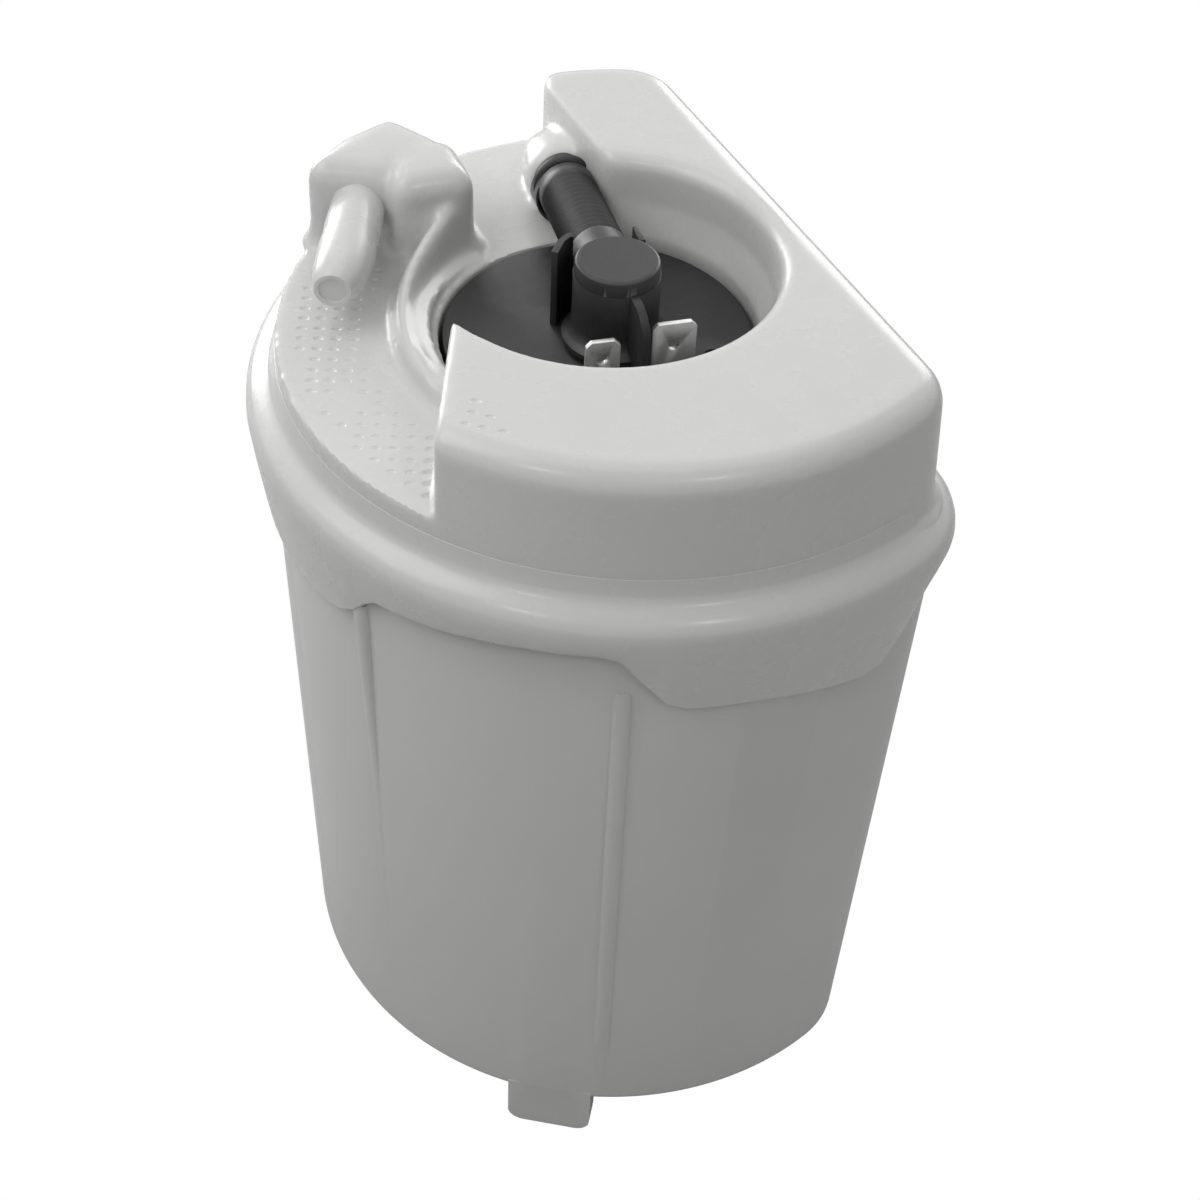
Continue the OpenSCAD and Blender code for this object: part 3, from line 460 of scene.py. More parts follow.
POT_WHITE = Finish("natural_white_pot", (0.62, 0.62, 0.61), roughness=0.34, shade_change=0.03,
                   cloud_size=22, relief=0.05, relief_size=0.7, depth_glow=0.12)
COVER_WHITE = Finish("natural_white_cover", (0.66, 0.66, 0.65), roughness=0.27,
                     shade_change=0.025, cloud_size=18, relief=0.04, relief_size=0.8, coat=0.1,
                     depth_glow=0.12)
CAP_BLACK = Finish("black_moulding", (0.014, 0.014, 0.0145), roughness=0.42, shade_change=0.1,
                   cloud_size=5, roughness_change=0.1, relief=0.12, relief_size=0.25)
HOSE_BLACK = Finish("black_hose", (0.015, 0.015, 0.0155), roughness=0.42, shade_change=0.1,
                    cloud_size=4, relief=0.1, relief_size=0.3)
RUBBER_BLACK = Finish("fuel_proof_rubber", (0.03, 0.03, 0.03), roughness=0.68, relief=0.2,
                      relief_size=0.3, sheen=0.2)
TINNED = Finish("dull_tinned_blade", (0.62, 0.62, 0.61), roughness=0.42, metallic=0.9,
                shade_change=0.16, cloud_size=1.6, roughness_change=0.16, relief=0.2,
                relief_size=0.15, grain=Grain.BRUSHED)
ZINC = Finish("zinc_plated_case", (0.55, 0.56, 0.57), roughness=0.36, metallic=0.9,
              shade_change=0.1, cloud_size=6, relief=0.1, relief_size=0.2, grain=Grain.BRUSHED)
STEEL = Finish("bright_steel", (0.52, 0.52, 0.54), roughness=0.26, metallic=1.0, relief=0.1,
               relief_size=0.12, grain=Grain.TURNED)
LAMINATED = Finish("stacked_laminations", (0.36, 0.36, 0.37), roughness=0.5, metallic=0.8,
                   relief=0.6, relief_size=0.5, grain=Grain.STACKED)
FERRITE = Finish("sintered_ferrite", (0.08, 0.08, 0.085), roughness=0.62, shade_change=0.14,
                 cloud_size=1.2, relief=0.3, relief_size=0.25)
COPPER = Finish("enamelled_copper", (0.62, 0.31, 0.16), roughness=0.3, metallic=0.9, relief=0.5,
                relief_size=0.45, grain=Grain.STACKED)
BRONZE = Finish("sintered_bronze", (0.55, 0.42, 0.2), roughness=0.42, metallic=0.9, relief=0.2,
                relief_size=0.2)
CARBON = Finish("pressed_carbon", (0.05, 0.05, 0.05), roughness=0.55, relief=0.3, relief_size=0.2)
CAST = Finish("die_cast_aluminium", (0.62, 0.63, 0.64), roughness=0.4, metallic=0.9,
              shade_change=0.08, cloud_size=2.5, relief=0.25, relief_size=0.4)
HEATPROOF = Finish("heat_proof_moulding", (0.55, 0.5, 0.36), roughness=0.42, relief=0.1,
                   relief_size=0.4)
STRAINER = Finish("woven_strainer", (0.22, 0.24, 0.16), roughness=0.75, relief=0.8,
                  relief_size=0.4, grain=Grain.WOVEN)

SHOWN_NODES: dict[Finish, tuple[str, ...]] = {
    ZINC: ("pump_case",),
    FERRITE: ("magnet_left", "magnet_right", "suppressor_chokes"),
    STEEL: ("magnet_clips", "shaft", "brush_spring_front", "brush_spring_rear",
            "check_valve_spring", "relief_valve_ball", "relief_valve_spring"),
    LAMINATED: ("armature_core",),
    COPPER: ("windings", "commutator"),
    BRONZE: ("lower_bush", "upper_bush", "check_valve_seat", "relief_valve_seat"),
    CARBON: ("brush_front", "brush_rear"),
    CAST: ("chamber_ring", "chamber_plate", "inlet_cover"),
    HEATPROOF: ("impeller", "check_valve_poppet"),
    STRAINER: ("inlet_strainer",),
    RUBBER_BLACK: ("port_seal", "upper_damper", "lower_mount", "foot_valve", "feed_tube_seal"),
    COVER_WHITE: ("jet_feed_tube", "jet_body", "mixing_tube"),
}


def finish_shown_nodes() -> None:
    """Gives each CAD node that still shows its own finish."""
    for finish, names in SHOWN_NODES.items():
        for name in names:
            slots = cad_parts[name].data.materials
            slots.clear()
            slots.append(finish.material())
    LOG.info("finished %d shown nodes", sum(len(names) for names in SHOWN_NODES.values()))


# --------------------------------------------------------------------- datums


@dataclass
class Datums:
    """Places that the moulded pieces share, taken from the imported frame, in millimetres.

    The pot stands on z = 0, its axis is at axis_x, and the pump's is at pump_x.
    """

    rim_r: float = 55.0
    raised_h: float = 13.2
    deck_h: float = 6.3
    rim_h: float = 8.0
    disc_h: float = 1.3
    wall: float = 2.2
    axis_x: float = field(init=False)
    pump_x: float = field(init=False)
    raised_z: float = field(init=False)
    deck_z: float = field(init=False)
    skirt_z: float = field(init=False)
    disc_z: float = field(init=False)
    head: Vector = field(init=False)

    def __post_init__(self) -> None:
        """Reads the CAD boxes that carry the places."""
        cover_low, cover_high = cad_box("cover")
        case_low, case_high = cad_box("pump_case")
        plug_low, plug_high = cad_box("outlet_head_plug")
        self.axis_x = cover_low.x + self.rim_r
        self.pump_x = (case_low.x + case_high.x) / 2
        self.raised_z = cover_high.z
        self.deck_z = self.raised_z - self.raised_h
        self.skirt_z = self.deck_z - self.deck_h - self.rim_h
        self.disc_z = self.deck_z + self.disc_h
        self.head = Vector(((plug_low.x + plug_high.x) / 2, (plug_low.y + plug_high.y) / 2,
                            plug_high.z))

    def at(self, x: float, y: float, z: float = 0.0) -> Vector:
        """A point given from the pot axis, with its height above the foot of the lugs."""
        return Vector((self.axis_x + x, y, z))

    def spin(self, radius: float, angle: float, z: float) -> Vector:
        """A point given by its radius, its angle in radians and its height, about the pump axis."""
        return Vector((self.pump_x + radius * math.cos(angle), radius * math.sin(angle), z))

    def flat_ring(self, radius: float, flat: float, corner: float, z: float) -> list[Vector]:
        """Points of a round outline with one flat side at +X and rounded corners.

        Args:
            radius: Radius of the round part.
            flat: Distance of the flat side from the axis.
            corner: Radius of the two corners.
            z: Height of the ring.

        Returns:
            The points, in order.
        """
        corner_steps = 14
        mid_x = flat - corner
        mid_y = math.sqrt((radius - corner) ** 2 - mid_x ** 2)
        turn = math.atan2(mid_y, mid_x)
        # What the two corners leave of the points goes round the far side, without its two ends.
        far_side = arc(turn, 2 * math.pi - turn, RING_COUNT - 2 * corner_steps - 1)[1:-1]
        points = [self.at(mid_x + corner * math.cos(a), mid_y + corner * math.sin(a), z)
                  for a in arc(0, turn, corner_steps)]
        points += [self.at(radius * math.cos(a), radius * math.sin(a), z) for a in far_side]
        points += [self.at(mid_x + corner * math.cos(a), -mid_y + corner * math.sin(a), z)
                   for a in arc(-turn, 0, corner_steps)]
        return points

    def sector(self, name: str, turns: tuple[float, float], radii: tuple[float, float],
               heights: tuple[float, float]) -> bpy.types.Object:
        """Makes a curved block about the pot axis.

        Args:
            name: Name of the object.
            turns: First and last angle in degrees.
            radii: Inner and outer radius.
            heights: Lowest and highest level.

        Returns:
            The block.
        """
        outline = []
        for radius, ends in ((radii[1], turns), (radii[0], turns[::-1])):
            outline += [tuple(self.at(radius * math.cos(a), radius * math.sin(a)).xy)
                        for a in map(math.radians, arc(*ends, 12))]
        return prism(name, outline, *heights)


# ------------------------------------------------------------------------ pot

# Middle of each snap window of the cover, and of the pot's hook in it, in degrees.
WINDOWS = (-90.5, 170.0, 90.5)


# The pot's inside at its floor: height over the floor, and how far the wall is thicker there.
FLOOR_FILLET = ((0.0, 1.2), (0.4, 0.35), (1.2, 0.0))


@dataclass
class Pot:
    """The swirl pot: a leaning flat-sided shell with lugs, a rib, a fin and hooks."""

    datums: Datums
    top_r: float = 52.1
    low_r: float = 49.6
    flat: float = 28.2
    flat_lean: float = 3.6
    corner: float = 14.0
    height: float = 109.0
    floor_t: float = 2.5
    edge_r: float = 3.0
    lug_h: float = 7.3
    lug_w: float = 13.5
    lug_t: float = 4.0
    lug_corner_r: float = 2.5
    lug_turn: float = 125.7
    hook_r: float = 53.2
    hook_h: float = 4.5
    seat_r: float = 24.2
    seat_bore_r: float = 22.0
    seat_h: float = 7.5
    foot_spot: tuple[float, float] = (-11.0, 32.5)

    def wall_r(self, z: float) -> float:
        """Outer radius of the wall at a height."""
        return self.low_r + (self.top_r - self.low_r) * (z - self.lug_h) / self.height

    def wall_flat(self, z: float) -> float:
        """Distance of the flat side from the axis at a height."""
        return self.flat - self.flat_lean * (self.lug_h + self.height - z) / self.height

    def build(self) -> bpy.types.Object:
        """Builds the pot in place of its CAD node."""
        top = self.lug_h + self.height
        levels = []
        for a in arc(0, math.pi / 2, 8):
            inset = self.edge_r * (1 - math.sin(a))
            levels.append((self.lug_h + self.edge_r * (1 - math.cos(a)), inset, inset))
        levels += [(top - 0.5, 0.0, 0.0), (top, 0.3, 0.0)]
        pot = loft("swirl_pot", [self._outline(*level) for level in levels])
        add_to(pot, self._lugs() + self._beads() + self._hooks())
        floor_top, wall = self.lug_h + self.floor_t, self.datums.wall
        room = [(floor_top + z, inset) for z, inset in FLOOR_FILLET] + [(top + 1, 0.0)]
        cut_from(pot, [loft("pot_room", [self._outline(z, wall, wall, inset)
                                         for z, inset in room])])
        add_to(pot, [self._seat(floor_top)])
        cut_from(pot, self._foot_holes())
        smooth_shade(pot)
        return dress(pot, POT_WHITE, ["pot"])

    def _outline(self, z: float, inset: float, corner_inset: float,
                 more: float = 0.0) -> list[Vector]:
        """An outline inside the wall's outer face.

        Args:
            z: Height of the outline.
            inset: How far it lies inside the face.
            corner_inset: How much smaller its corner radius is.
            more: A further inset, which leaves the corner radius as it is.

        Returns:
            The points, in order.
        """
        return self.datums.flat_ring(self.wall_r(z) - inset - more,
                                     self.wall_flat(z) - inset - more,
                                     self.corner - corner_inset, z)

    def _seat(self, floor_top: float) -> bpy.types.Object:
        """The slotted ring on the floor that the pump's lower mount stands in."""
        pump_x = self.datums.pump_x
        seat = turned("pump_seat", [(self.seat_r, floor_top - 0.5),
                                    (self.seat_r, floor_top + self.seat_h)], pump_x)
        cut_from(seat, [turned("seat_bore", [(self.seat_bore_r, floor_top - 2),
                                             (self.seat_bore_r, floor_top + 9)], pump_x)])
        cut_from(seat, [block("seat_slot", Vector((pump_x + 15, -5, floor_top)),
                              Vector((pump_x + 27, 5, floor_top + 7)), turn,
                              Vector((pump_x, 0, 0))) for turn in (30, 150, 270)])
        return seat

    def _lugs(self) -> list[bpy.types.Object]:
        """The three standing lugs, rounded at their lower corners."""
        lugs = []
        low_z = self.lug_h + self.edge_r
        half, round_r = self.lug_w / 2, self.lug_corner_r
        for turn, reach in ((-self.lug_turn, self.wall_r(low_z)),
                            (self.lug_turn, self.wall_r(low_z)), (0.0, self.wall_flat(low_z))):
            outline = [(half, self.lug_h + 3), (-half, self.lug_h + 3)]
            for side, start in ((-1, 180), (1, 270)):
                outline += [(side * (half - round_r) + round_r * math.cos(a),
                             round_r + round_r * math.sin(a))
                            for a in map(math.radians, arc(start, start + 90, 8))]
            turn_about = Matrix.Rotation(math.radians(turn), 4, "Z")
            lugs.append(loft("lug", [[self.datums.at(0, 0) + turn_about @ Vector((x, y, z))
                                      for y, z in outline]
                                     for x in (reach - 0.2 - self.lug_t, reach - 0.2)]))
        return lugs

    def _bead(self, name: str, turn: float,
              levels: Sequence[tuple[float, float, float]]) -> bpy.types.Object:
        """A softly rounded upright bead on the wall.

        Args:
            name: Name of the object.
            turn: Where it stands, in degrees.
            levels: Height, half width and how far it stands out, level by level.

        Returns:
            The bead.
        """
        turn_about = Matrix.Rotation(math.radians(turn), 4, "Z")
        rings = []
        for z, half, out in levels:
            wall = self.wall_r(z)
            ring = [Vector((wall - 0.6, side * half, z)) for side in (1, -1)]
            ring += [Vector((wall - 0.2 + (out + 0.2) * math.sin(a), -half * math.cos(a), z))
                     for a in arc(0, math.pi, 12)]
            rings.append([self.datums.at(0, 0) + turn_about @ point for point in ring])
        return loft(name, rings)

    def _beads(self) -> list[bpy.types.Object]:
        """The long rib of the wall, and the short guide fin, which fades out at its foot."""
        low, top = self.lug_h + 15, self.datums.skirt_z - 7.4
        rib = [(low, 1.0, 0.05), (low + 2, 1.3, 0.5), (top - 1, 1.3, 0.55), (top, 1.0, 0.3)]
        top = self.datums.skirt_z - 6.1
        fin = [(top - 38, 1.0, 0.02), (top - 3, 1.3, 1.2), (top - 0.8, 1.3, 1.2), (top, 1.1, 0.9)]
        return [self._bead("long_rib", -116.4, rib), self._bead("guide_fin", -159.6, fin)]

    def _hooks(self) -> list[bpy.types.Object]:
        """The curved plates that snap into the windows of the cover's tabs."""
        low = self.datums.skirt_z - 5.9
        return [self.datums.sector("hook", (turn - 7.0, turn + 6.0),
                                   (self.wall_r(low) - 1.0, self.hook_r), (low, low + self.hook_h))
                for turn in WINDOWS]

    def _foot_holes(self) -> list[bpy.types.Object]:
        """The floor holes under the foot valve: one in the middle and five round it."""
        middle = self.datums.at(*self.foot_spot)
        spots = [(0.0, 0.0, 1.6)] + [(4 * math.cos(a), 4 * math.sin(a), 1.4)
                                     for a in arc(0, 2 * math.pi, 5)[:-1]]
        return [loft("foot_hole", [[middle + Vector((x, y, 0)) + p
                                    for p in circle_ring(r, z, count=32)]
                                   for z in (self.lug_h - 2, self.lug_h + self.floor_t + 1)])
                for x, y, r in spots]


# ---------------------------------------------------------------------- cover

# Fillet between the rim and the walls: height above the foot, and how far it stands out there.
FOOT_FILLET = ((0.0, 1.8), (0.9, 1.5), (1.2, 0.9), (1.8, 0.35), (2.6, 0.1), (3.6, 0.0))

# The collar, station by station round the pump: degrees, crest height, radius of the foot, height
# of the ledge.
COLLAR_STATIONS = ((110, 11.4, 30.2, 0.6), (114, 10.4, 30.1, 0.8), (119, 9.2, 30.0, 1.0),
                   (126, 7.6, 30.0, 1.2), (131, 6.7, 30.0, 1.4), (137, 6.0, 30.0, 1.7),
                   (142, 5.5, 29.8, 1.9), (147, 5.0, 29.5, 2.1), (152, 4.5, 29.3, 2.2),
                   (156, 4.2, 29.1, 2.3), (163, 4.0, 28.9, 2.4), (170, 4.0, 28.8, 2.4),
                   (177, 3.8, 28.7, 2.3), (184, 3.5, 28.6, 2.2), (191, 3.1, 28.5, 2.0),
                   (198, 2.8, 28.5, 1.9))

# How far the lower edge of the rim band hangs down, round the pot axis: degrees, millimetres. The
# deep parts are the three snap tabs.
RIM_EDGE = ((-180, 10.2), (-167, 9.9), (-163, 9.0), (-160, 7.3), (-157.5, 4.6), (-155, 2.6),
            (-143.5, 1.4), (-131, -0.1), (-120, -0.6), (-117, 0.2), (-114, 4.0), (-110, 8.4),
            (-107, 9.5), (-100, 9.7), (-96, 9.9), (-90, 10.8), (-79, 12.6), (-75, 12.2),
            (-71.5, 9.0), (-67.3, 4.0), (-64, 0), (64, 0), (67.5, 4.0), (71.5, 8.4), (75, 9.5),
            (106, 9.5), (110, 8.4), (114, 4.0), (117, 0), (140, 0), (143, 4.0), (147, 8.4),
            (151, 10.0), (180, 10.2))

# Outer face of the rim band from its lower edge up: height, inset, share of the edge's drop, and
# inset where a tab hangs down. Over its widest place only the height and the inset count.
RIM_LOWER = ((-4.0, 1.9, 1.0, 2.3), (-3.7, 1.3, 0.98, 1.75), (-2.9, 0.7, 0.8, 1.35),
             (-2.2, 0.4, 0.5, 0.85), (-1.2, 0.12, 0.2, 0.35))
RIM_UPPER = ((0.0, 0.0), (1.1, 0.12), (2.1, 0.5), (2.9, 1.1), (3.5, 1.9), (3.85, 2.6), (4.2, 3.15),
             (4.7, 3.6), (5.4, 3.9), (6.4, 4.15), (7.6, 4.45), (7.9, 5.0))

# Walls of the raised part beside the low deck, in plan from the pot axis: the far wall point by
# point, and where the near wall starts and how it runs.
FAR_WALL = ((17.4, 70), (7.9, 48), (6.0, 45.5), (5.4, 42.5), (5.6, 18), (-29.4, -3.6))
NEAR_START = (-29.4, -4.3)
NEAR_RUN = (-14.6, -28.0)

# Corners of the two blocks of the boss, in plan from the pot axis.
BOSS_BLOCKS = (((-32.6, 35.6), (-25.6, 31.6), (-17, 35), (-20.4, 41.4), (-27.2, 39.2)),
               ((-23.4, 27.4), (-15.9, 26.4), (-15.5, 33), (-22, 36)))

# The supply spigot: distance along it, radius, and shift of its middle aside.
SPIGOT = ((0, 4.1, 0), (2, 3.95, -0.05), (5, 4.0, -0.1), (7.6, 4.1, -0.2), (9.0, 3.95, -0.2),
          (13.4, 4.1, -0.2), (14.8, 3.95, -0.2), (17.6, 3.85, -0.1), (19.6, 3.45, 0.05),
          (21.2, 2.9, 0.25), (21.8, 2.55, 0.3))

# The hump over the end of the hose: radius, and distance past the hose's reach.
HUMP = ((4.5, 0.9), (5.0, 1.6), (5.2, 4.0), (4.9, 8.0), (4.2, 10.6), (2.6, 12.4), (0.6, 13.2))

# Grid of the deck's dimples: its first spot, and its steps across and down, in plan from the pot
# axis. The blank is a round place that has none.
GRID_START, GRID_ACROSS, GRID_DOWN = (-43.63, -6.5), (2.165, -0.999), (-0.99, -2.134)
BLANK_SPOT, BLANK_R = (-43.8, -0.9), 2.7

# A dimple: height over the face and radius of each ring, and how much longer and narrower it is.
DIMPLE_RINGS = ((-0.16, 0.2), (-0.1, 0.42), (0.25, 0.85))
DIMPLE_LONG, DIMPLE_NARROW = 1.3, 0.85

# Dimples of the raised part, in plan from the pot axis.
RAISED_DIMPLES = ((-33.99, -23.03), (-35.26, -25.09), (-33.51, -26.68), (-36.9, -26.75),
                  (-35.15, -28.33), (-33.19, -30.0), (-36.89, -29.92), (-34.82, -31.62))

# Rounds of smoothing for each group of the skin's vertices.
SOFTENING = {"crest": 50, "blend": 14}


@dataclass
class Cover:
    """The clip-on cover: rim band with snap tabs, low deck, raised part, well, boss and spigot."""

    datums: Datums
    pot: Pot
    rim_flat: float = 29.2
    rim_corner: float = 16.0
    deck_r: float = 50.3
    deck_edge_r: float = 1.2
    raised_r: float = 49.3
    raised_flat: float = 24.7
    corner: float = 9.0
    top_edge_r: float = 4.0
    well_r: float = 24.6
    well_low_r: float = 22.4
    voxel: float = 0.55
    far_wall_x: float = 5.6
    far_blend: float = 6.0
    near_blend: float = 5.0
    collar_r: float = 30.6
    dimpled_r: float = 47.4
    boss_h: float = 14.2
    boss_side_r: float = 2.4
    boss_top_r: float = 4.0
    spigot_h: float = 7.3
    spigot_turn: float = 240.4

    def build(self) -> list[bpy.types.Object]:
        """Builds the cover in place of its CAD node."""
        top, rim, spigot, underside = self._top(), self._rim(), self._spigot(), self._underside()
        for piece, degrees in ((top, 38), (rim, 32), (spigot, 40), (underside, 32)):
            smooth_shade(piece, degrees)
        return [dress(top, COVER_WHITE, ["cover"])] + [
            dress(piece, COVER_WHITE) for piece in (rim, spigot, underside)]

    def _dome(self, name: str, low: tuple[float, float], top: tuple[float, float], edge_r: float,
              z_top: float) -> bpy.types.Object:
        """A flat-sided drum with a fillet at its foot and a rounded top edge.

        Args:
            name: Name of the object.
            low: Radius and flat distance at the foot.
            top: Radius and flat distance where the rounding starts.
            edge_r: Radius of the rounding.
            z_top: Height of the top face.

        Returns:
            The drum.
        """
        z_low = self.datums.skirt_z + self.datums.rim_h - 1
        z_round = z_top - edge_r
        rings = []
        for lift, flare in FOOT_FILLET:
            share = lift / (z_round - z_low)
            radius = low[0] + (top[0] - low[0]) * share + flare
            flat = low[1] + (top[1] - low[1]) * share + flare * 0.8
            rings.append(self.datums.flat_ring(radius, flat, self.corner + flare, z_low + lift))
        for a in arc(0, math.pi / 2, 8):
            inset = edge_r * (1 - math.cos(a))
            rings.append(self.datums.flat_ring(top[0] - inset, top[1] - inset, self.corner - inset,
                                               z_round + edge_r * math.sin(a)))
        return loft(name, rings)

    def _top(self) -> bpy.types.Object:
        """The deck, the raised part and all that is moulded on them, as one blended skin."""
        d = self.datums
        foot = (self.deck_r + 0.5, self.raised_flat + 0.6)
        raised = self._dome("raised_part", foot, (self.raised_r + 0.4, self.raised_flat),
                            self.top_edge_r, d.raised_z)
        deck = self._dome("deck", foot, (self.deck_r, self.raised_flat + 0.3), self.deck_edge_r,
                          d.deck_z)
        collar = self._collar()
        cut_from(raised, self._low_zone() + [self._well()])
        cut_from(deck, [self._well(), self._mouth()])
        cut_from(collar, [self._well()])
        top = join_loose("cover_top", [deck, raised, collar, self._hump()] + self._boss())
        apply_modifier(top, "REMESH", mode="VOXEL", voxel_size=self.voxel * MM, adaptivity=0.0)
        self._soften(top)
        cut_from(top, [self._room(), self._raised_room(), self._dimples()])
        return top

    def _low_zone(self, grow: float = 0.0) -> list[bpy.types.Object]:
        """The two prisms that keep the deck low beside the raised part.

        Args:
            grow: Margin by which they reach into the raised part.

        Returns:
            The prisms, which overlap.
        """
        d = self.datums
        (start_x, start_y), (run_x, run_y) = NEAR_START, NEAR_RUN
        near_x, near_y = start_x + grow, start_y - grow
        far = [(x + grow, y) for x, y in FAR_WALL] + [(-80, -30), (-80, 70)]
        near = [(near_x, near_y), (near_x, 20), (-80, 20), (-80, start_y + run_y - grow),
                (start_x + run_x + grow, start_y + run_y - grow)]
        floor = d.deck_z - 0.02 - 20 * (grow > 0)
        return [prism("low_zone", [tuple(d.at(x, y).xy) for x, y in outline], floor, d.raised_z + 6)
                for outline in (far, near)]

    def _softness(self, spot: Vector) -> list[tuple[str, float]]:
        """How much the skin is blended at a spot.

        Args:
            spot: The spot, from the pot axis and the deck.

        Returns:
            Group and weight for the far wall, the near wall, and the boss with the collar.
        """
        d = self.datums
        plan = spot.xy
        radius = math.hypot(spot.x, spot.y)
        from_pump = math.hypot(spot.x + d.axis_x - d.pump_x, spot.y)
        beside_far = spot.y > 17 and spot.z > 0.3
        far = 1 - abs(spot.x - self.far_wall_x) / self.far_blend if beside_far else 0
        start, run = Vector(NEAR_START), Vector(NEAR_RUN)
        along = (plan - start).dot(run) / run.length_squared
        aside = (plan - start - run * clamp(along)).length
        near = (1 - aside / self.near_blend) * clamp((self.deck_r - 1.5 - radius) / 2)
        boss = 0.0
        if spot.y > 8 and spot.x < 5.0 and from_pump > 24:
            on_collar = from_pump < self.collar_r and spot.x < -18
            boss = clamp((self.deck_r - 2.5 - radius) / 2, high=0.25 if on_collar else 1)
        return [("crest", far), ("crest", 0.7 * near), ("blend", boss)]

    def _soften(self, top: bpy.types.Object) -> None:
        """Blends the remeshed skin: lightly all over, and more by its walls and at the boss."""
        apply_modifier(top, "SMOOTH", factor=0.5, iterations=4)
        groups = {name: top.vertex_groups.new(name=name) for name in SOFTENING}
        origin = self.datums.at(0, 0, self.datums.deck_z)
        for vertex in top.data.vertices:
            spot = vertex.co / MM - origin
            if spot.z >= -0.8:
                for name, weight in self._softness(spot):
                    if weight > 0:
                        groups[name].add([vertex.index], weight, "REPLACE")
        for name, rounds in SOFTENING.items():
            apply_modifier(top, "SMOOTH", factor=0.5, iterations=rounds, vertex_group=name)

    def _collar(self) -> bpy.types.Object:
        """The ridge beside the well, which climbs from the near wall to the boss as it narrows."""
        d = self.datums
        rings = []
        for degrees, crest, foot_r, ledge in COLLAR_STATIONS:
            profile = [(foot_r + 1.5, -1.5), (foot_r + 1.4, 0.02), (foot_r + 0.6, 0.15),
                       (foot_r + 0.1, 0.6), (foot_r - 0.3, 1.4), (28.3, crest - 1.1),
                       (27.95, crest - 0.4), (27.4, crest), (26.9, crest - 0.2),
                       (26.5, crest - 0.8), (26.1, max(crest - 1.7, ledge + 1.1)),
                       (25.6, ledge + 0.6), (24.9, ledge + 0.3), (23.5, ledge - 0.2), (23.5, -1.5)]
            rings.append([d.spin(r, math.radians(degrees), d.deck_z + z) for r, z in profile])
        return loft("collar", rings)

    def _boss(self) -> list[bpy.types.Object]:
        """Two rounded blocks, merged, that carry the spigot."""
        levels = [(-1.0, -1.6), (0.3, -1.4), (0.9, -0.8), (2.0, -0.3), (4.0, 0.0)]
        levels += [(self.boss_h - self.boss_top_r + self.boss_top_r * math.sin(a),
                    self.boss_top_r * (1 - math.cos(a))) for a in arc(0, math.pi / 2, 8)]
        return [loft("boss_block", [self._rounded(corners, self.boss_side_r, inset,
                                                  self.datums.deck_z + z)
                                    for z, inset in levels]) for corners in BOSS_BLOCKS]

    def _rounded(self, corners: Sequence[tuple[float, float]], radius: float, inset: float,
                 z: float) -> list[Vector]:
        """An outline at a distance outside a convex polygon, with round corners.

        Args:
            corners: Corners of the polygon, in either order.
            radius: Distance of the outline from the polygon before it is inset.
            inset: How far the outline moves in. What the radius leaves of it moves the corners.
            z: Height of the outline.

        Returns:
            Points of the outline, eight to a corner.
        """
        count = len(corners)
        area = sum(corners[i - 1][0] * corners[i][1] - corners[i][0] * corners[i - 1][1]
                   for i in range(count))
        ordered = [Vector(corner) for corner in (corners if area > 0 else reversed(corners))]
        middle = sum(ordered, Vector((0, 0))) / count
        left = max(radius - inset, 0.4)
        drawn_in = inset - (radius - left)
        ordered = [here + (middle - here).normalized() * drawn_in * 1.2 for here in ordered]
        points = []
        for i, here in enumerate(ordered):
            before = (here - ordered[i - 1]).normalized()
            after = (ordered[(i + 1) % count] - here).normalized()
            start = math.atan2(-before.x, before.y)
            sweep = (math.atan2(-after.x, after.y) - start) % (2 * math.pi)
            for k in range(8):
                a = start + sweep * k / 7
                points.append(self.datums.at(here.x + left * math.cos(a),
                                             here.y + left * math.sin(a), z))
        return points

    def _hump(self) -> bpy.types.Object:
        """The smooth hump that holds the end of the hose."""
        hose = Hose(self.datums)
        return drawn("port_hump", hose.origin(), hose.axis(),
                     [(r, hose.reach + past) for r, past in HUMP])

    def _well(self) -> bpy.types.Object:
        """The tool that cuts the well: a throat round the pump, a cone, and a rounded mouth."""
        d = self.datums
        throat = [(self.well_low_r, d.deck_z - 24), (self.well_low_r, d.disc_z + 0.2),
                  (23.2, d.disc_z + 2.2), (24.2, d.disc_z + 5.0)]
        rings = [circle_ring(r, z, d.pump_x) for r, z in throat]
        levels = [(a, 0) for a in arc(0, math.pi / 2, 6)] + [(math.pi / 2, 3)]
        for a, lift in levels:
            ring = []
            for turn in arc(0, 2 * math.pi, RING_COUNT)[:-1]:
                # The edge is widest on the flat side and narrowest opposite it.
                edge_r = 1.7 + 0.9 * math.cos(turn - math.radians(20))
                ring.append(d.spin(self.well_r + edge_r * (1 - math.cos(a)), turn,
                                   d.raised_z - edge_r * (1 - math.sin(a)) + lift))
            rings.append(ring)
        return loft("well_tool", rings)

    def _mouth(self) -> bpy.types.Object:
        """The tool that rounds the deck down into the well between the port and the boss."""
        d = self.datums
        out, drop = 5.6, 4.0
        profile = [(22.0, -drop), (22.0, 0.6), (self.well_low_r + out + 0.6, 0.6)]
        profile += [(self.well_low_r + out * (1 - math.sin(a)), -drop * (1 - math.cos(a)))
                    for a in map(math.radians, arc(0, 90, 6))]
        return loft("mouth_tool", [[d.spin(r, a, d.deck_z + z) for r, z in profile]
                                   for a in map(math.radians, arc(56, 124, 17))])

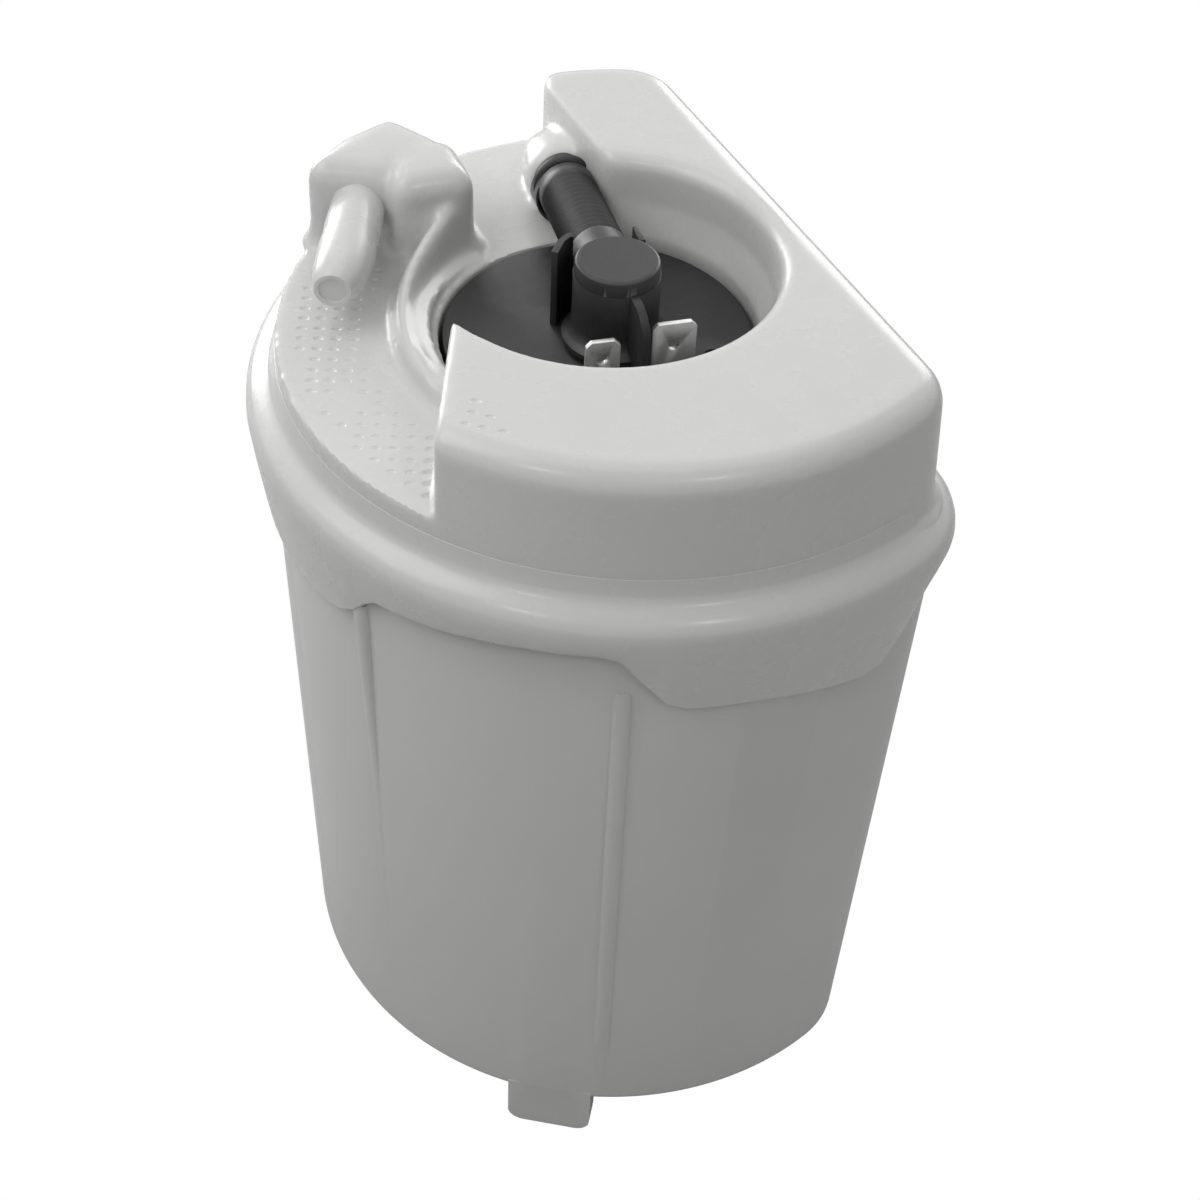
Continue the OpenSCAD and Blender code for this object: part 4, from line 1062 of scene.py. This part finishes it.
    def _room(self) -> bpy.types.Object:
        """The hollow under the deck, down to where the pot stands."""
        d = self.datums
        room = loft("deck_room", [d.flat_ring(self.deck_r - d.wall, self.raised_flat - d.wall,
                                              self.corner - d.wall, z)
                                  for z in (d.skirt_z, d.deck_z - d.wall)])
        core_r = self.well_low_r + 2.4
        cut_from(room, [turned("sleeve_core", [(core_r, d.skirt_z - 3), (core_r, d.deck_z + 4)],
                               d.pump_x)])
        return room
        return room

    def _raised_room(self) -> bpy.types.Object:
        """The hollow in the raised part, clear of the well and of the low deck."""
        d = self.datums
        levels = ((d.deck_z - 4, 1.2), (d.raised_z - 5, 1.2), (d.raised_z - d.wall, 3.6))
        room = loft("raised_room", [d.flat_ring(self.raised_r - 1.2 - inset,
                                                self.raised_flat - 1.4 - inset,
                                                self.corner - inset, z) for z, inset in levels])
        core_r = self.well_r + d.wall
        core = turned("well_core", [(core_r, d.deck_z - 8), (core_r, d.raised_z + 4)], d.pump_x)
        cut_from(room, self._low_zone(d.wall + 0.6) + [core])
        return room

    def _underside(self) -> bpy.types.Object:
        """The sleeve, the duct and the feed socket that hang under the deck."""
        d = self.datums
        sleeve_r, sleeve_low = self.well_low_r, d.deck_z - 22
        sleeve = [(sleeve_r + 2, d.deck_z - 2), (sleeve_r + 2, sleeve_low), (sleeve_r, sleeve_low),
                  (sleeve_r, d.deck_z - 2)]
        duct_z = d.deck_z - 6
        socket = [(6.4, d.deck_z - 1), (6.4, duct_z - 12), (3.5, duct_z - 12), (3.5, duct_z - 4),
                  (2.2, duct_z - 4), (2.2, d.deck_z - 1)]
        jet, port = d.at(-24, 31, duct_z), Hose(d).tip()
        port.z = duct_z
        run = port - jet
        duct = [(4.0, 0.0), (4.0, run.length), (2.4, run.length), (2.4, 0.0)]
        parts = [turned("sleeve", sleeve, d.pump_x, closed=True),
                 turned("socket", socket, jet.x, jet.y, 64, closed=True),
                 drawn("duct", jet, run.normalized(), duct, closed=True)]
        return join_loose("cover_underside", parts)

    def _dimples(self) -> bpy.types.Object:
        """The shallow oblong dimples of the deck and the raised part, as one tool."""
        d = self.datums
        start, across, down = Vector(GRID_START), Vector(GRID_ACROSS), Vector(GRID_DOWN)
        wall_side = Vector((NEAR_RUN[1], -NEAR_RUN[0])).normalized()
        spots = []
        for i in range(-12, 13):
            for k in range(-18, 14):
                spot = start + across * i + down * k
                on_deck = spot.length < self.dimpled_r and spot.y < 27 and spot.x < -20
                clear = (spot - Vector(NEAR_START)).dot(wall_side) > 1.4
                blank = (spot - Vector(BLANK_SPOT)).length < BLANK_R
                from_pump = (spot - Vector((d.pump_x - d.axis_x, 0))).length
                if on_deck and clear and not blank and from_pump > 32.7:
                    spots.append((spot, d.deck_z))
        spots += [(Vector(spot), d.raised_z) for spot in RAISED_DIMPLES]
        long_way = across.normalized()
        tools = []
        for spot, z in spots:
            rings = []
            for lift, r in DIMPLE_RINGS:
                ring = [(p.x * DIMPLE_LONG, p.y * DIMPLE_NARROW)
                        for p in circle_ring(r, 0.0, count=12)]
                rings.append([d.at(spot.x, spot.y) + Vector((x * long_way.x - y * long_way.y,
                                                             x * long_way.y + y * long_way.x,
                                                             z + lift)) for x, y in ring])
            tools.append(loft("dimple", rings))
        return join_loose("dimple_tool", tools)

    def _rim_drop(self, point: Vector) -> float:
        """How far the rim's lower edge hangs down at a point of its outline."""
        here = math.degrees(math.atan2(point.y, point.x - self.datums.axis_x))
        for (start, low), (end, high) in zip(RIM_EDGE, RIM_EDGE[1:]):
            if start <= here <= end:
                return low + (high - low) * (here - start) / (end - start)
        return 0.0

    def _rim(self) -> bpy.types.Object:
        """The rim band round the pot, which runs down into the tabs without a crease."""
        d = self.datums
        low = d.skirt_z
        zero, fit = low + 4, 0.25
        rings = []
        for z, inset, share, tab_inset in RIM_LOWER + tuple((z, i, 0.0, i) for z, i in RIM_UPPER):
            plain, tabbed = (d.flat_ring(d.rim_r - i, self.rim_flat - i * 0.8,
                                         self.rim_corner - i * 0.3, zero + z)
                             for i in (inset, tab_inset))
            ring = []
            for here, there in zip(plain, tabbed):
                drop = self._rim_drop(here)
                point = here.lerp(there, clamp(drop / 5))
                point.z -= drop * share
                ring.append(point)
            rings.append(ring)
        # Back down inside: over the pot's edge, then along its wall to the lower edge again.
        for z, inset, share in ((1.0, 5.0, 0.0), (1.0, 0.0, 0.0), (-4.0, 0.0, 1.0)):
            ring = d.flat_ring(self.pot.top_r + fit - inset, self.pot.flat + fit - inset,
                               self.pot.corner, zero + z)
            for point in ring:
                point.z -= self._rim_drop(point) * share
            rings.append(ring)
        band = loft("cover_rim", rings, closed=True)
        # The windows and the slot need a closed band. While its seam is open, they cut nothing.
        cut_from(band, [d.sector("window", (turn - 7.2, turn + 7.2), (50.0, 60.0),
                                 (low - 6.2, low - 1.1)) for turn in WINDOWS])
        cut_from(band, [d.sector("slot", (-166.6, -163.2), (53.0, 60.0), (low - 8.9, low - 6.3))])
        return band

    def _spigot(self) -> bpy.types.Object:
        """The stepped supply spigot, level, with a nearly closed mouth."""
        d = self.datums
        turn = math.radians(self.spigot_turn)
        axis = Vector((math.cos(turn), math.sin(turn), 0))
        aside = Vector((axis.y, -axis.x, 0))
        origin = d.at(-28.7, 32.4, d.deck_z + self.spigot_h)
        spigot = loft("supply_spigot", [axial_ring(origin + aside * shift, axis, r, along)
                                        for along, r, shift in SPIGOT])
        tip_shift = SPIGOT[-1][-1]
        cut_from(spigot, [drawn("spigot_mouth", origin + aside * tip_shift, axis,
                                [(1.9, 21.45), (2.3, 23)], 48)])
        return spigot


# ----------------------------------------------------------------------- hose


@dataclass
class Hose:
    """The corrugated hose from the pump head to its port in the cover."""

    datums: Datums
    radius: float = 4.3
    pitch: float = 1.37
    ridges: int = 13
    groove: float = 0.45
    reach: float = 33.2
    turn: float = 78.0
    dip: float = 7.0

    def origin(self) -> Vector:
        """The point of the head axis that the hose starts from."""
        d = self.datums
        return Vector((d.head.x, d.head.y, d.disc_z + 7.5))

    def axis(self) -> Vector:
        """Direction of the hose."""
        turn, dip = math.radians(self.turn), math.radians(self.dip)
        return Vector((math.cos(dip) * math.cos(turn), math.cos(dip) * math.sin(turn),
                       -math.sin(dip)))

    def tip(self) -> Vector:
        """The end of the hose in the cover."""
        return self.origin() + self.axis() * (self.reach + 5)

    def build(self) -> bpy.types.Object:
        """Builds the hose in place of its CAD node: a cuff, the ridges, and a flanged end."""
        end, steps = self.reach, 6
        x = end - 4.8 - self.pitch * self.ridges
        profile = [(3.2, 4.6), (4.3, 4.6), (4.3, 7.8), (4.3, x - 0.4)]
        for _ in range(self.ridges):
            profile += [(self.radius - self.groove * (1 - math.cos(2 * math.pi * k / steps)) / 2,
                         x + self.pitch * k / steps) for k in range(steps)]
            x += self.pitch
        profile += [(4.3, x), (4.3, end - 1.9), (4.1, end - 1.7), (3.7, end - 1.6),
                    (3.7, end - 1.0), (4.5, end - 0.9), (4.65, end - 0.7), (4.65, end + 0.1),
                    (4.3, end + 0.2), (4.3, end + 4.4), (3.2, end + 4.4)]
        hose = drawn("corrugated_hose", self.origin(), self.axis(), profile, 72, closed=True)
        smooth_shade(hose, 50)
        return dress(hose, HOSE_BLACK, ["outlet_hose"])


# ------------------------------------------------------------------ pump head


@dataclass
class PumpHead:
    """The pump's black cap with its outlet head, plug and clip, and the blades, softened."""

    datums: Datums
    top_lift: float = 0.9
    plug_lift: float = 0.03
    ring_count: int = 96
    cuff_half: float = 4.32

    def build(self) -> list[bpy.types.Object]:
        """Builds softened pieces in place of the CAD nodes."""
        cap = self._softened("end_cap", "pump_end_cap", 0.25, CAP_BLACK)
        add_to(cap, [self._head()])
        smooth_shade(cap, 30)
        clip = self._softened("hose_clip", "locking_clip", 0.2, CAP_BLACK)
        cut_from(clip, [self._clip_gap()])
        return [cap, clip, self._plug(),
                self._softened("terminal_wide", "wide_blade", 0.12, TINNED),
                self._softened("terminal_narrow", "narrow_blade", 0.12, TINNED)]

    def _head(self) -> bpy.types.Object:
        """The outside of the outlet head: a base ring, a side that draws in, and a round edge."""
        d = self.datums
        low, top = d.disc_z, d.head.z + self.top_lift
        profile = [(7.4, low - 0.3), (7.4, low + 0.5), (6.9, low + 1.0), (6.3, low + 1.4),
                   (6.1, low + 3.0), (5.9, top - 0.5), (5.78, top - 0.15), (5.5, top)]
        return turned("head_shell", profile, d.head.x, d.head.y, self.ring_count)

    def _plug(self) -> bpy.types.Object:
        """The plug in the top of the head, just proud of it."""
        head = self.datums.head
        top = head.z + self.top_lift + self.plug_lift
        profile = [(4.9, top - 2.0), (5.3, top - 1.9), (5.3, top - 0.05), (5.25, top)]
        plug = turned("head_plug", profile, head.x, head.y, self.ring_count)
        smooth_shade(plug, 30)
        return dress(plug, CAP_BLACK, ["outlet_head_plug"])

    def _clip_gap(self) -> bpy.types.Object:
        """The tool that opens the clip round and over the hose's cuff."""
        hose = Hose(self.datums)
        axis = Vector((hose.axis().x, hose.axis().y, 0)).normalized()
        side = Vector((-axis.y, axis.x, 0)) * self.cuff_half
        near, far = hose.origin() + axis * 3, hose.origin() + axis * 12
        outline = [tuple(point.xy) for point in (near - side, far - side, far + side, near + side)]
        return prism("clip_gap", outline, hose.origin().z - 1, hose.origin().z + 12)

    def _softened(self, node: str, name: str, width: float, finish: Finish) -> bpy.types.Object:
        """Copies a CAD node, merges its triangles and rounds its edges.

        Args:
            node: CAD node to copy.
            name: Name of the new piece.
            width: Width of the rounding in millimetres.
            finish: Finish of the piece.

        Returns:
            The piece, which replaces the node.
        """
        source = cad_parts[node]
        piece = bpy.data.objects.new(name, source.data.copy())
        bpy.context.scene.collection.objects.link(piece)
        piece.data.transform(source.matrix_world)
        activate(piece)
        bpy.ops.object.mode_set(mode="EDIT")
        bpy.ops.mesh.select_all(action="SELECT")
        bpy.ops.mesh.remove_doubles(threshold=0.00001)
        bpy.ops.mesh.dissolve_limited(angle_limit=math.radians(1.0))
        bpy.ops.object.mode_set(mode="OBJECT")
        apply_modifier(piece, "BEVEL", width=width * MM, segments=2, limit_method="ANGLE",
                       angle_limit=math.radians(35), use_clamp_overlap=True)
        smooth_shade(piece, 30)
        return dress(piece, finish, [node])


# ---------------------------------------------------------------------- stage


# The lamps: name, place, side of the square and power, in millimetres and watts.
LAMPS = (("top_lamp", (40, 120, 520), 420, 0.42), ("left_lamp", (-260, 60, 420), 260, 0.48),
         ("back_left_lamp", (-80, 460, 190), 260, 1.0), ("right_lamp", (340, 260, 240), 240, 0.6),
         ("left_glint", (-290, -203, 474), 40, 0.09), ("right_glint", (12, -353, 474), 40, 0.09))


@dataclass
class Studio:
    """Pale floor, soft lights and the camera at the photograph's angle."""

    eye: Vector = field(default_factory=lambda: Vector((-104.74, -223.33, 311.1)))
    right: Vector = field(default_factory=lambda: Vector((0.90414, -0.42585, 0.03475)))
    up: Vector = field(default_factory=lambda: Vector((0.27002, 0.63256, 0.72593)))
    aim: Vector = field(default_factory=lambda: Vector((0, 0, 90)))
    lens: float = 66.0
    sensor: float = 36.0
    ambient: float = 0.37
    glossy_extra: float = 0.6

    def build(self) -> None:
        """Sets the camera, the floor, the lamps and the world."""
        self._camera()
        self._floor()
        for lamp in LAMPS:
            self._lamp(*lamp)
        self._world()
        LOG.info("studio set")

    def _camera(self) -> None:
        """Adds the camera with its measured place and axes."""
        data = bpy.data.cameras.new("camera")
        data.lens = self.lens
        data.sensor_width = self.sensor
        data.clip_start, data.clip_end = 0.01, 20.0
        camera = bpy.data.objects.new("camera", data)
        bpy.context.scene.collection.objects.link(camera)
        back = self.right.cross(self.up).normalized()
        matrix = Matrix((self.right, self.up, back)).transposed().to_4x4()
        matrix.translation = self.eye * MM
        camera.matrix_world = matrix
        bpy.context.scene.camera = camera

    def _lamp(self, name: str, place: tuple[float, float, float], size: float,
              power: float) -> None:
        """Adds a soft square lamp that aims at the middle of the pump.

        Args:
            name: Name of the lamp.
            place: Its place in millimetres.
            size: Side of the square in millimetres.
            power: Power in watts.
        """
        data = bpy.data.lights.new(name, "AREA")
        data.size = size * MM
        data.energy = power
        lamp = bpy.data.objects.new(name, data)
        bpy.context.scene.collection.objects.link(lamp)
        lamp.location = Vector(place) * MM
        lamp.rotation_euler = (self.aim - Vector(place)).to_track_quat("-Z", "Y").to_euler()

    def _seen_white(self, tree: bpy.types.NodeTree, lit: bpy.types.NodeSocket,
                    seen: bpy.types.NodeSocket, output: str) -> None:
        """Shows one shader to the camera and another to the light.

        Args:
            tree: Node tree of the material or the world.
            lit: Shader that the light meets.
            seen: Shader that the camera sees.
            output: Name of the output node.
        """
        path = tree.nodes.new("ShaderNodeLightPath")
        mix = tree.nodes.new("ShaderNodeMixShader")
        tree.links.new(path.outputs["Is Camera Ray"], mix.inputs["Fac"])
        tree.links.new(lit, mix.inputs[1])
        tree.links.new(seen, mix.inputs[2])
        tree.links.new(mix.outputs["Shader"], tree.nodes[output].inputs["Surface"])

    def _floor(self) -> None:
        """Adds the floor, white to the camera and pale to the light."""
        clear_selection()
        bpy.ops.mesh.primitive_plane_add(size=6.0)
        floor = bpy.context.object
        floor.name = "floor"
        material = bpy.data.materials.new("pale_floor")
        material.use_nodes = True
        tree = material.node_tree
        shader = set_inputs(tree.nodes["Principled BSDF"], Base_Color=(0.5, 0.5, 0.5, 1),
                            Roughness=0.9)
        glow = set_inputs(tree.nodes.new("ShaderNodeEmission"), Strength=1.0)
        self._seen_white(tree, shader.outputs["BSDF"], glow.outputs["Emission"],
                         "Material Output")
        floor.data.materials.append(material)

    def _world(self) -> None:
        """Sets an even pale world, brighter in a gloss and white where the camera sees it."""
        world = bpy.data.worlds.new("studio")
        bpy.context.scene.world = world
        world.use_nodes = True
        tree = world.node_tree
        ambient = set_inputs(tree.nodes["Background"], Color=(1, 1, 1, 1))
        seen = set_inputs(tree.nodes.new("ShaderNodeBackground"), Color=(1, 1, 1, 1))
        path = tree.nodes.new("ShaderNodeLightPath")
        strength = tree.nodes.new("ShaderNodeMath")
        strength.operation = "MULTIPLY_ADD"
        strength.inputs[1].default_value = self.glossy_extra
        strength.inputs[2].default_value = self.ambient
        tree.links.new(path.outputs["Is Glossy Ray"], strength.inputs[0])
        tree.links.new(strength.outputs["Value"], ambient.inputs["Strength"])
        self._seen_white(tree, ambient.outputs["Background"], seen.outputs["Background"],
                         "World Output")


def main() -> None:
    """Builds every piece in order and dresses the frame."""
    logging.basicConfig(level=logging.INFO, format="%(name)s %(message)s")
    bpy.context.scene.view_settings.view_transform = "Standard"
    datums = Datums()
    pot = Pot(datums)
    pot.build()
    Cover(datums, pot).build()
    Hose(datums).build()
    PumpHead(datums).build()
    finish_shown_nodes()
    Studio().build()


if __name__ == "__main__":
    main()
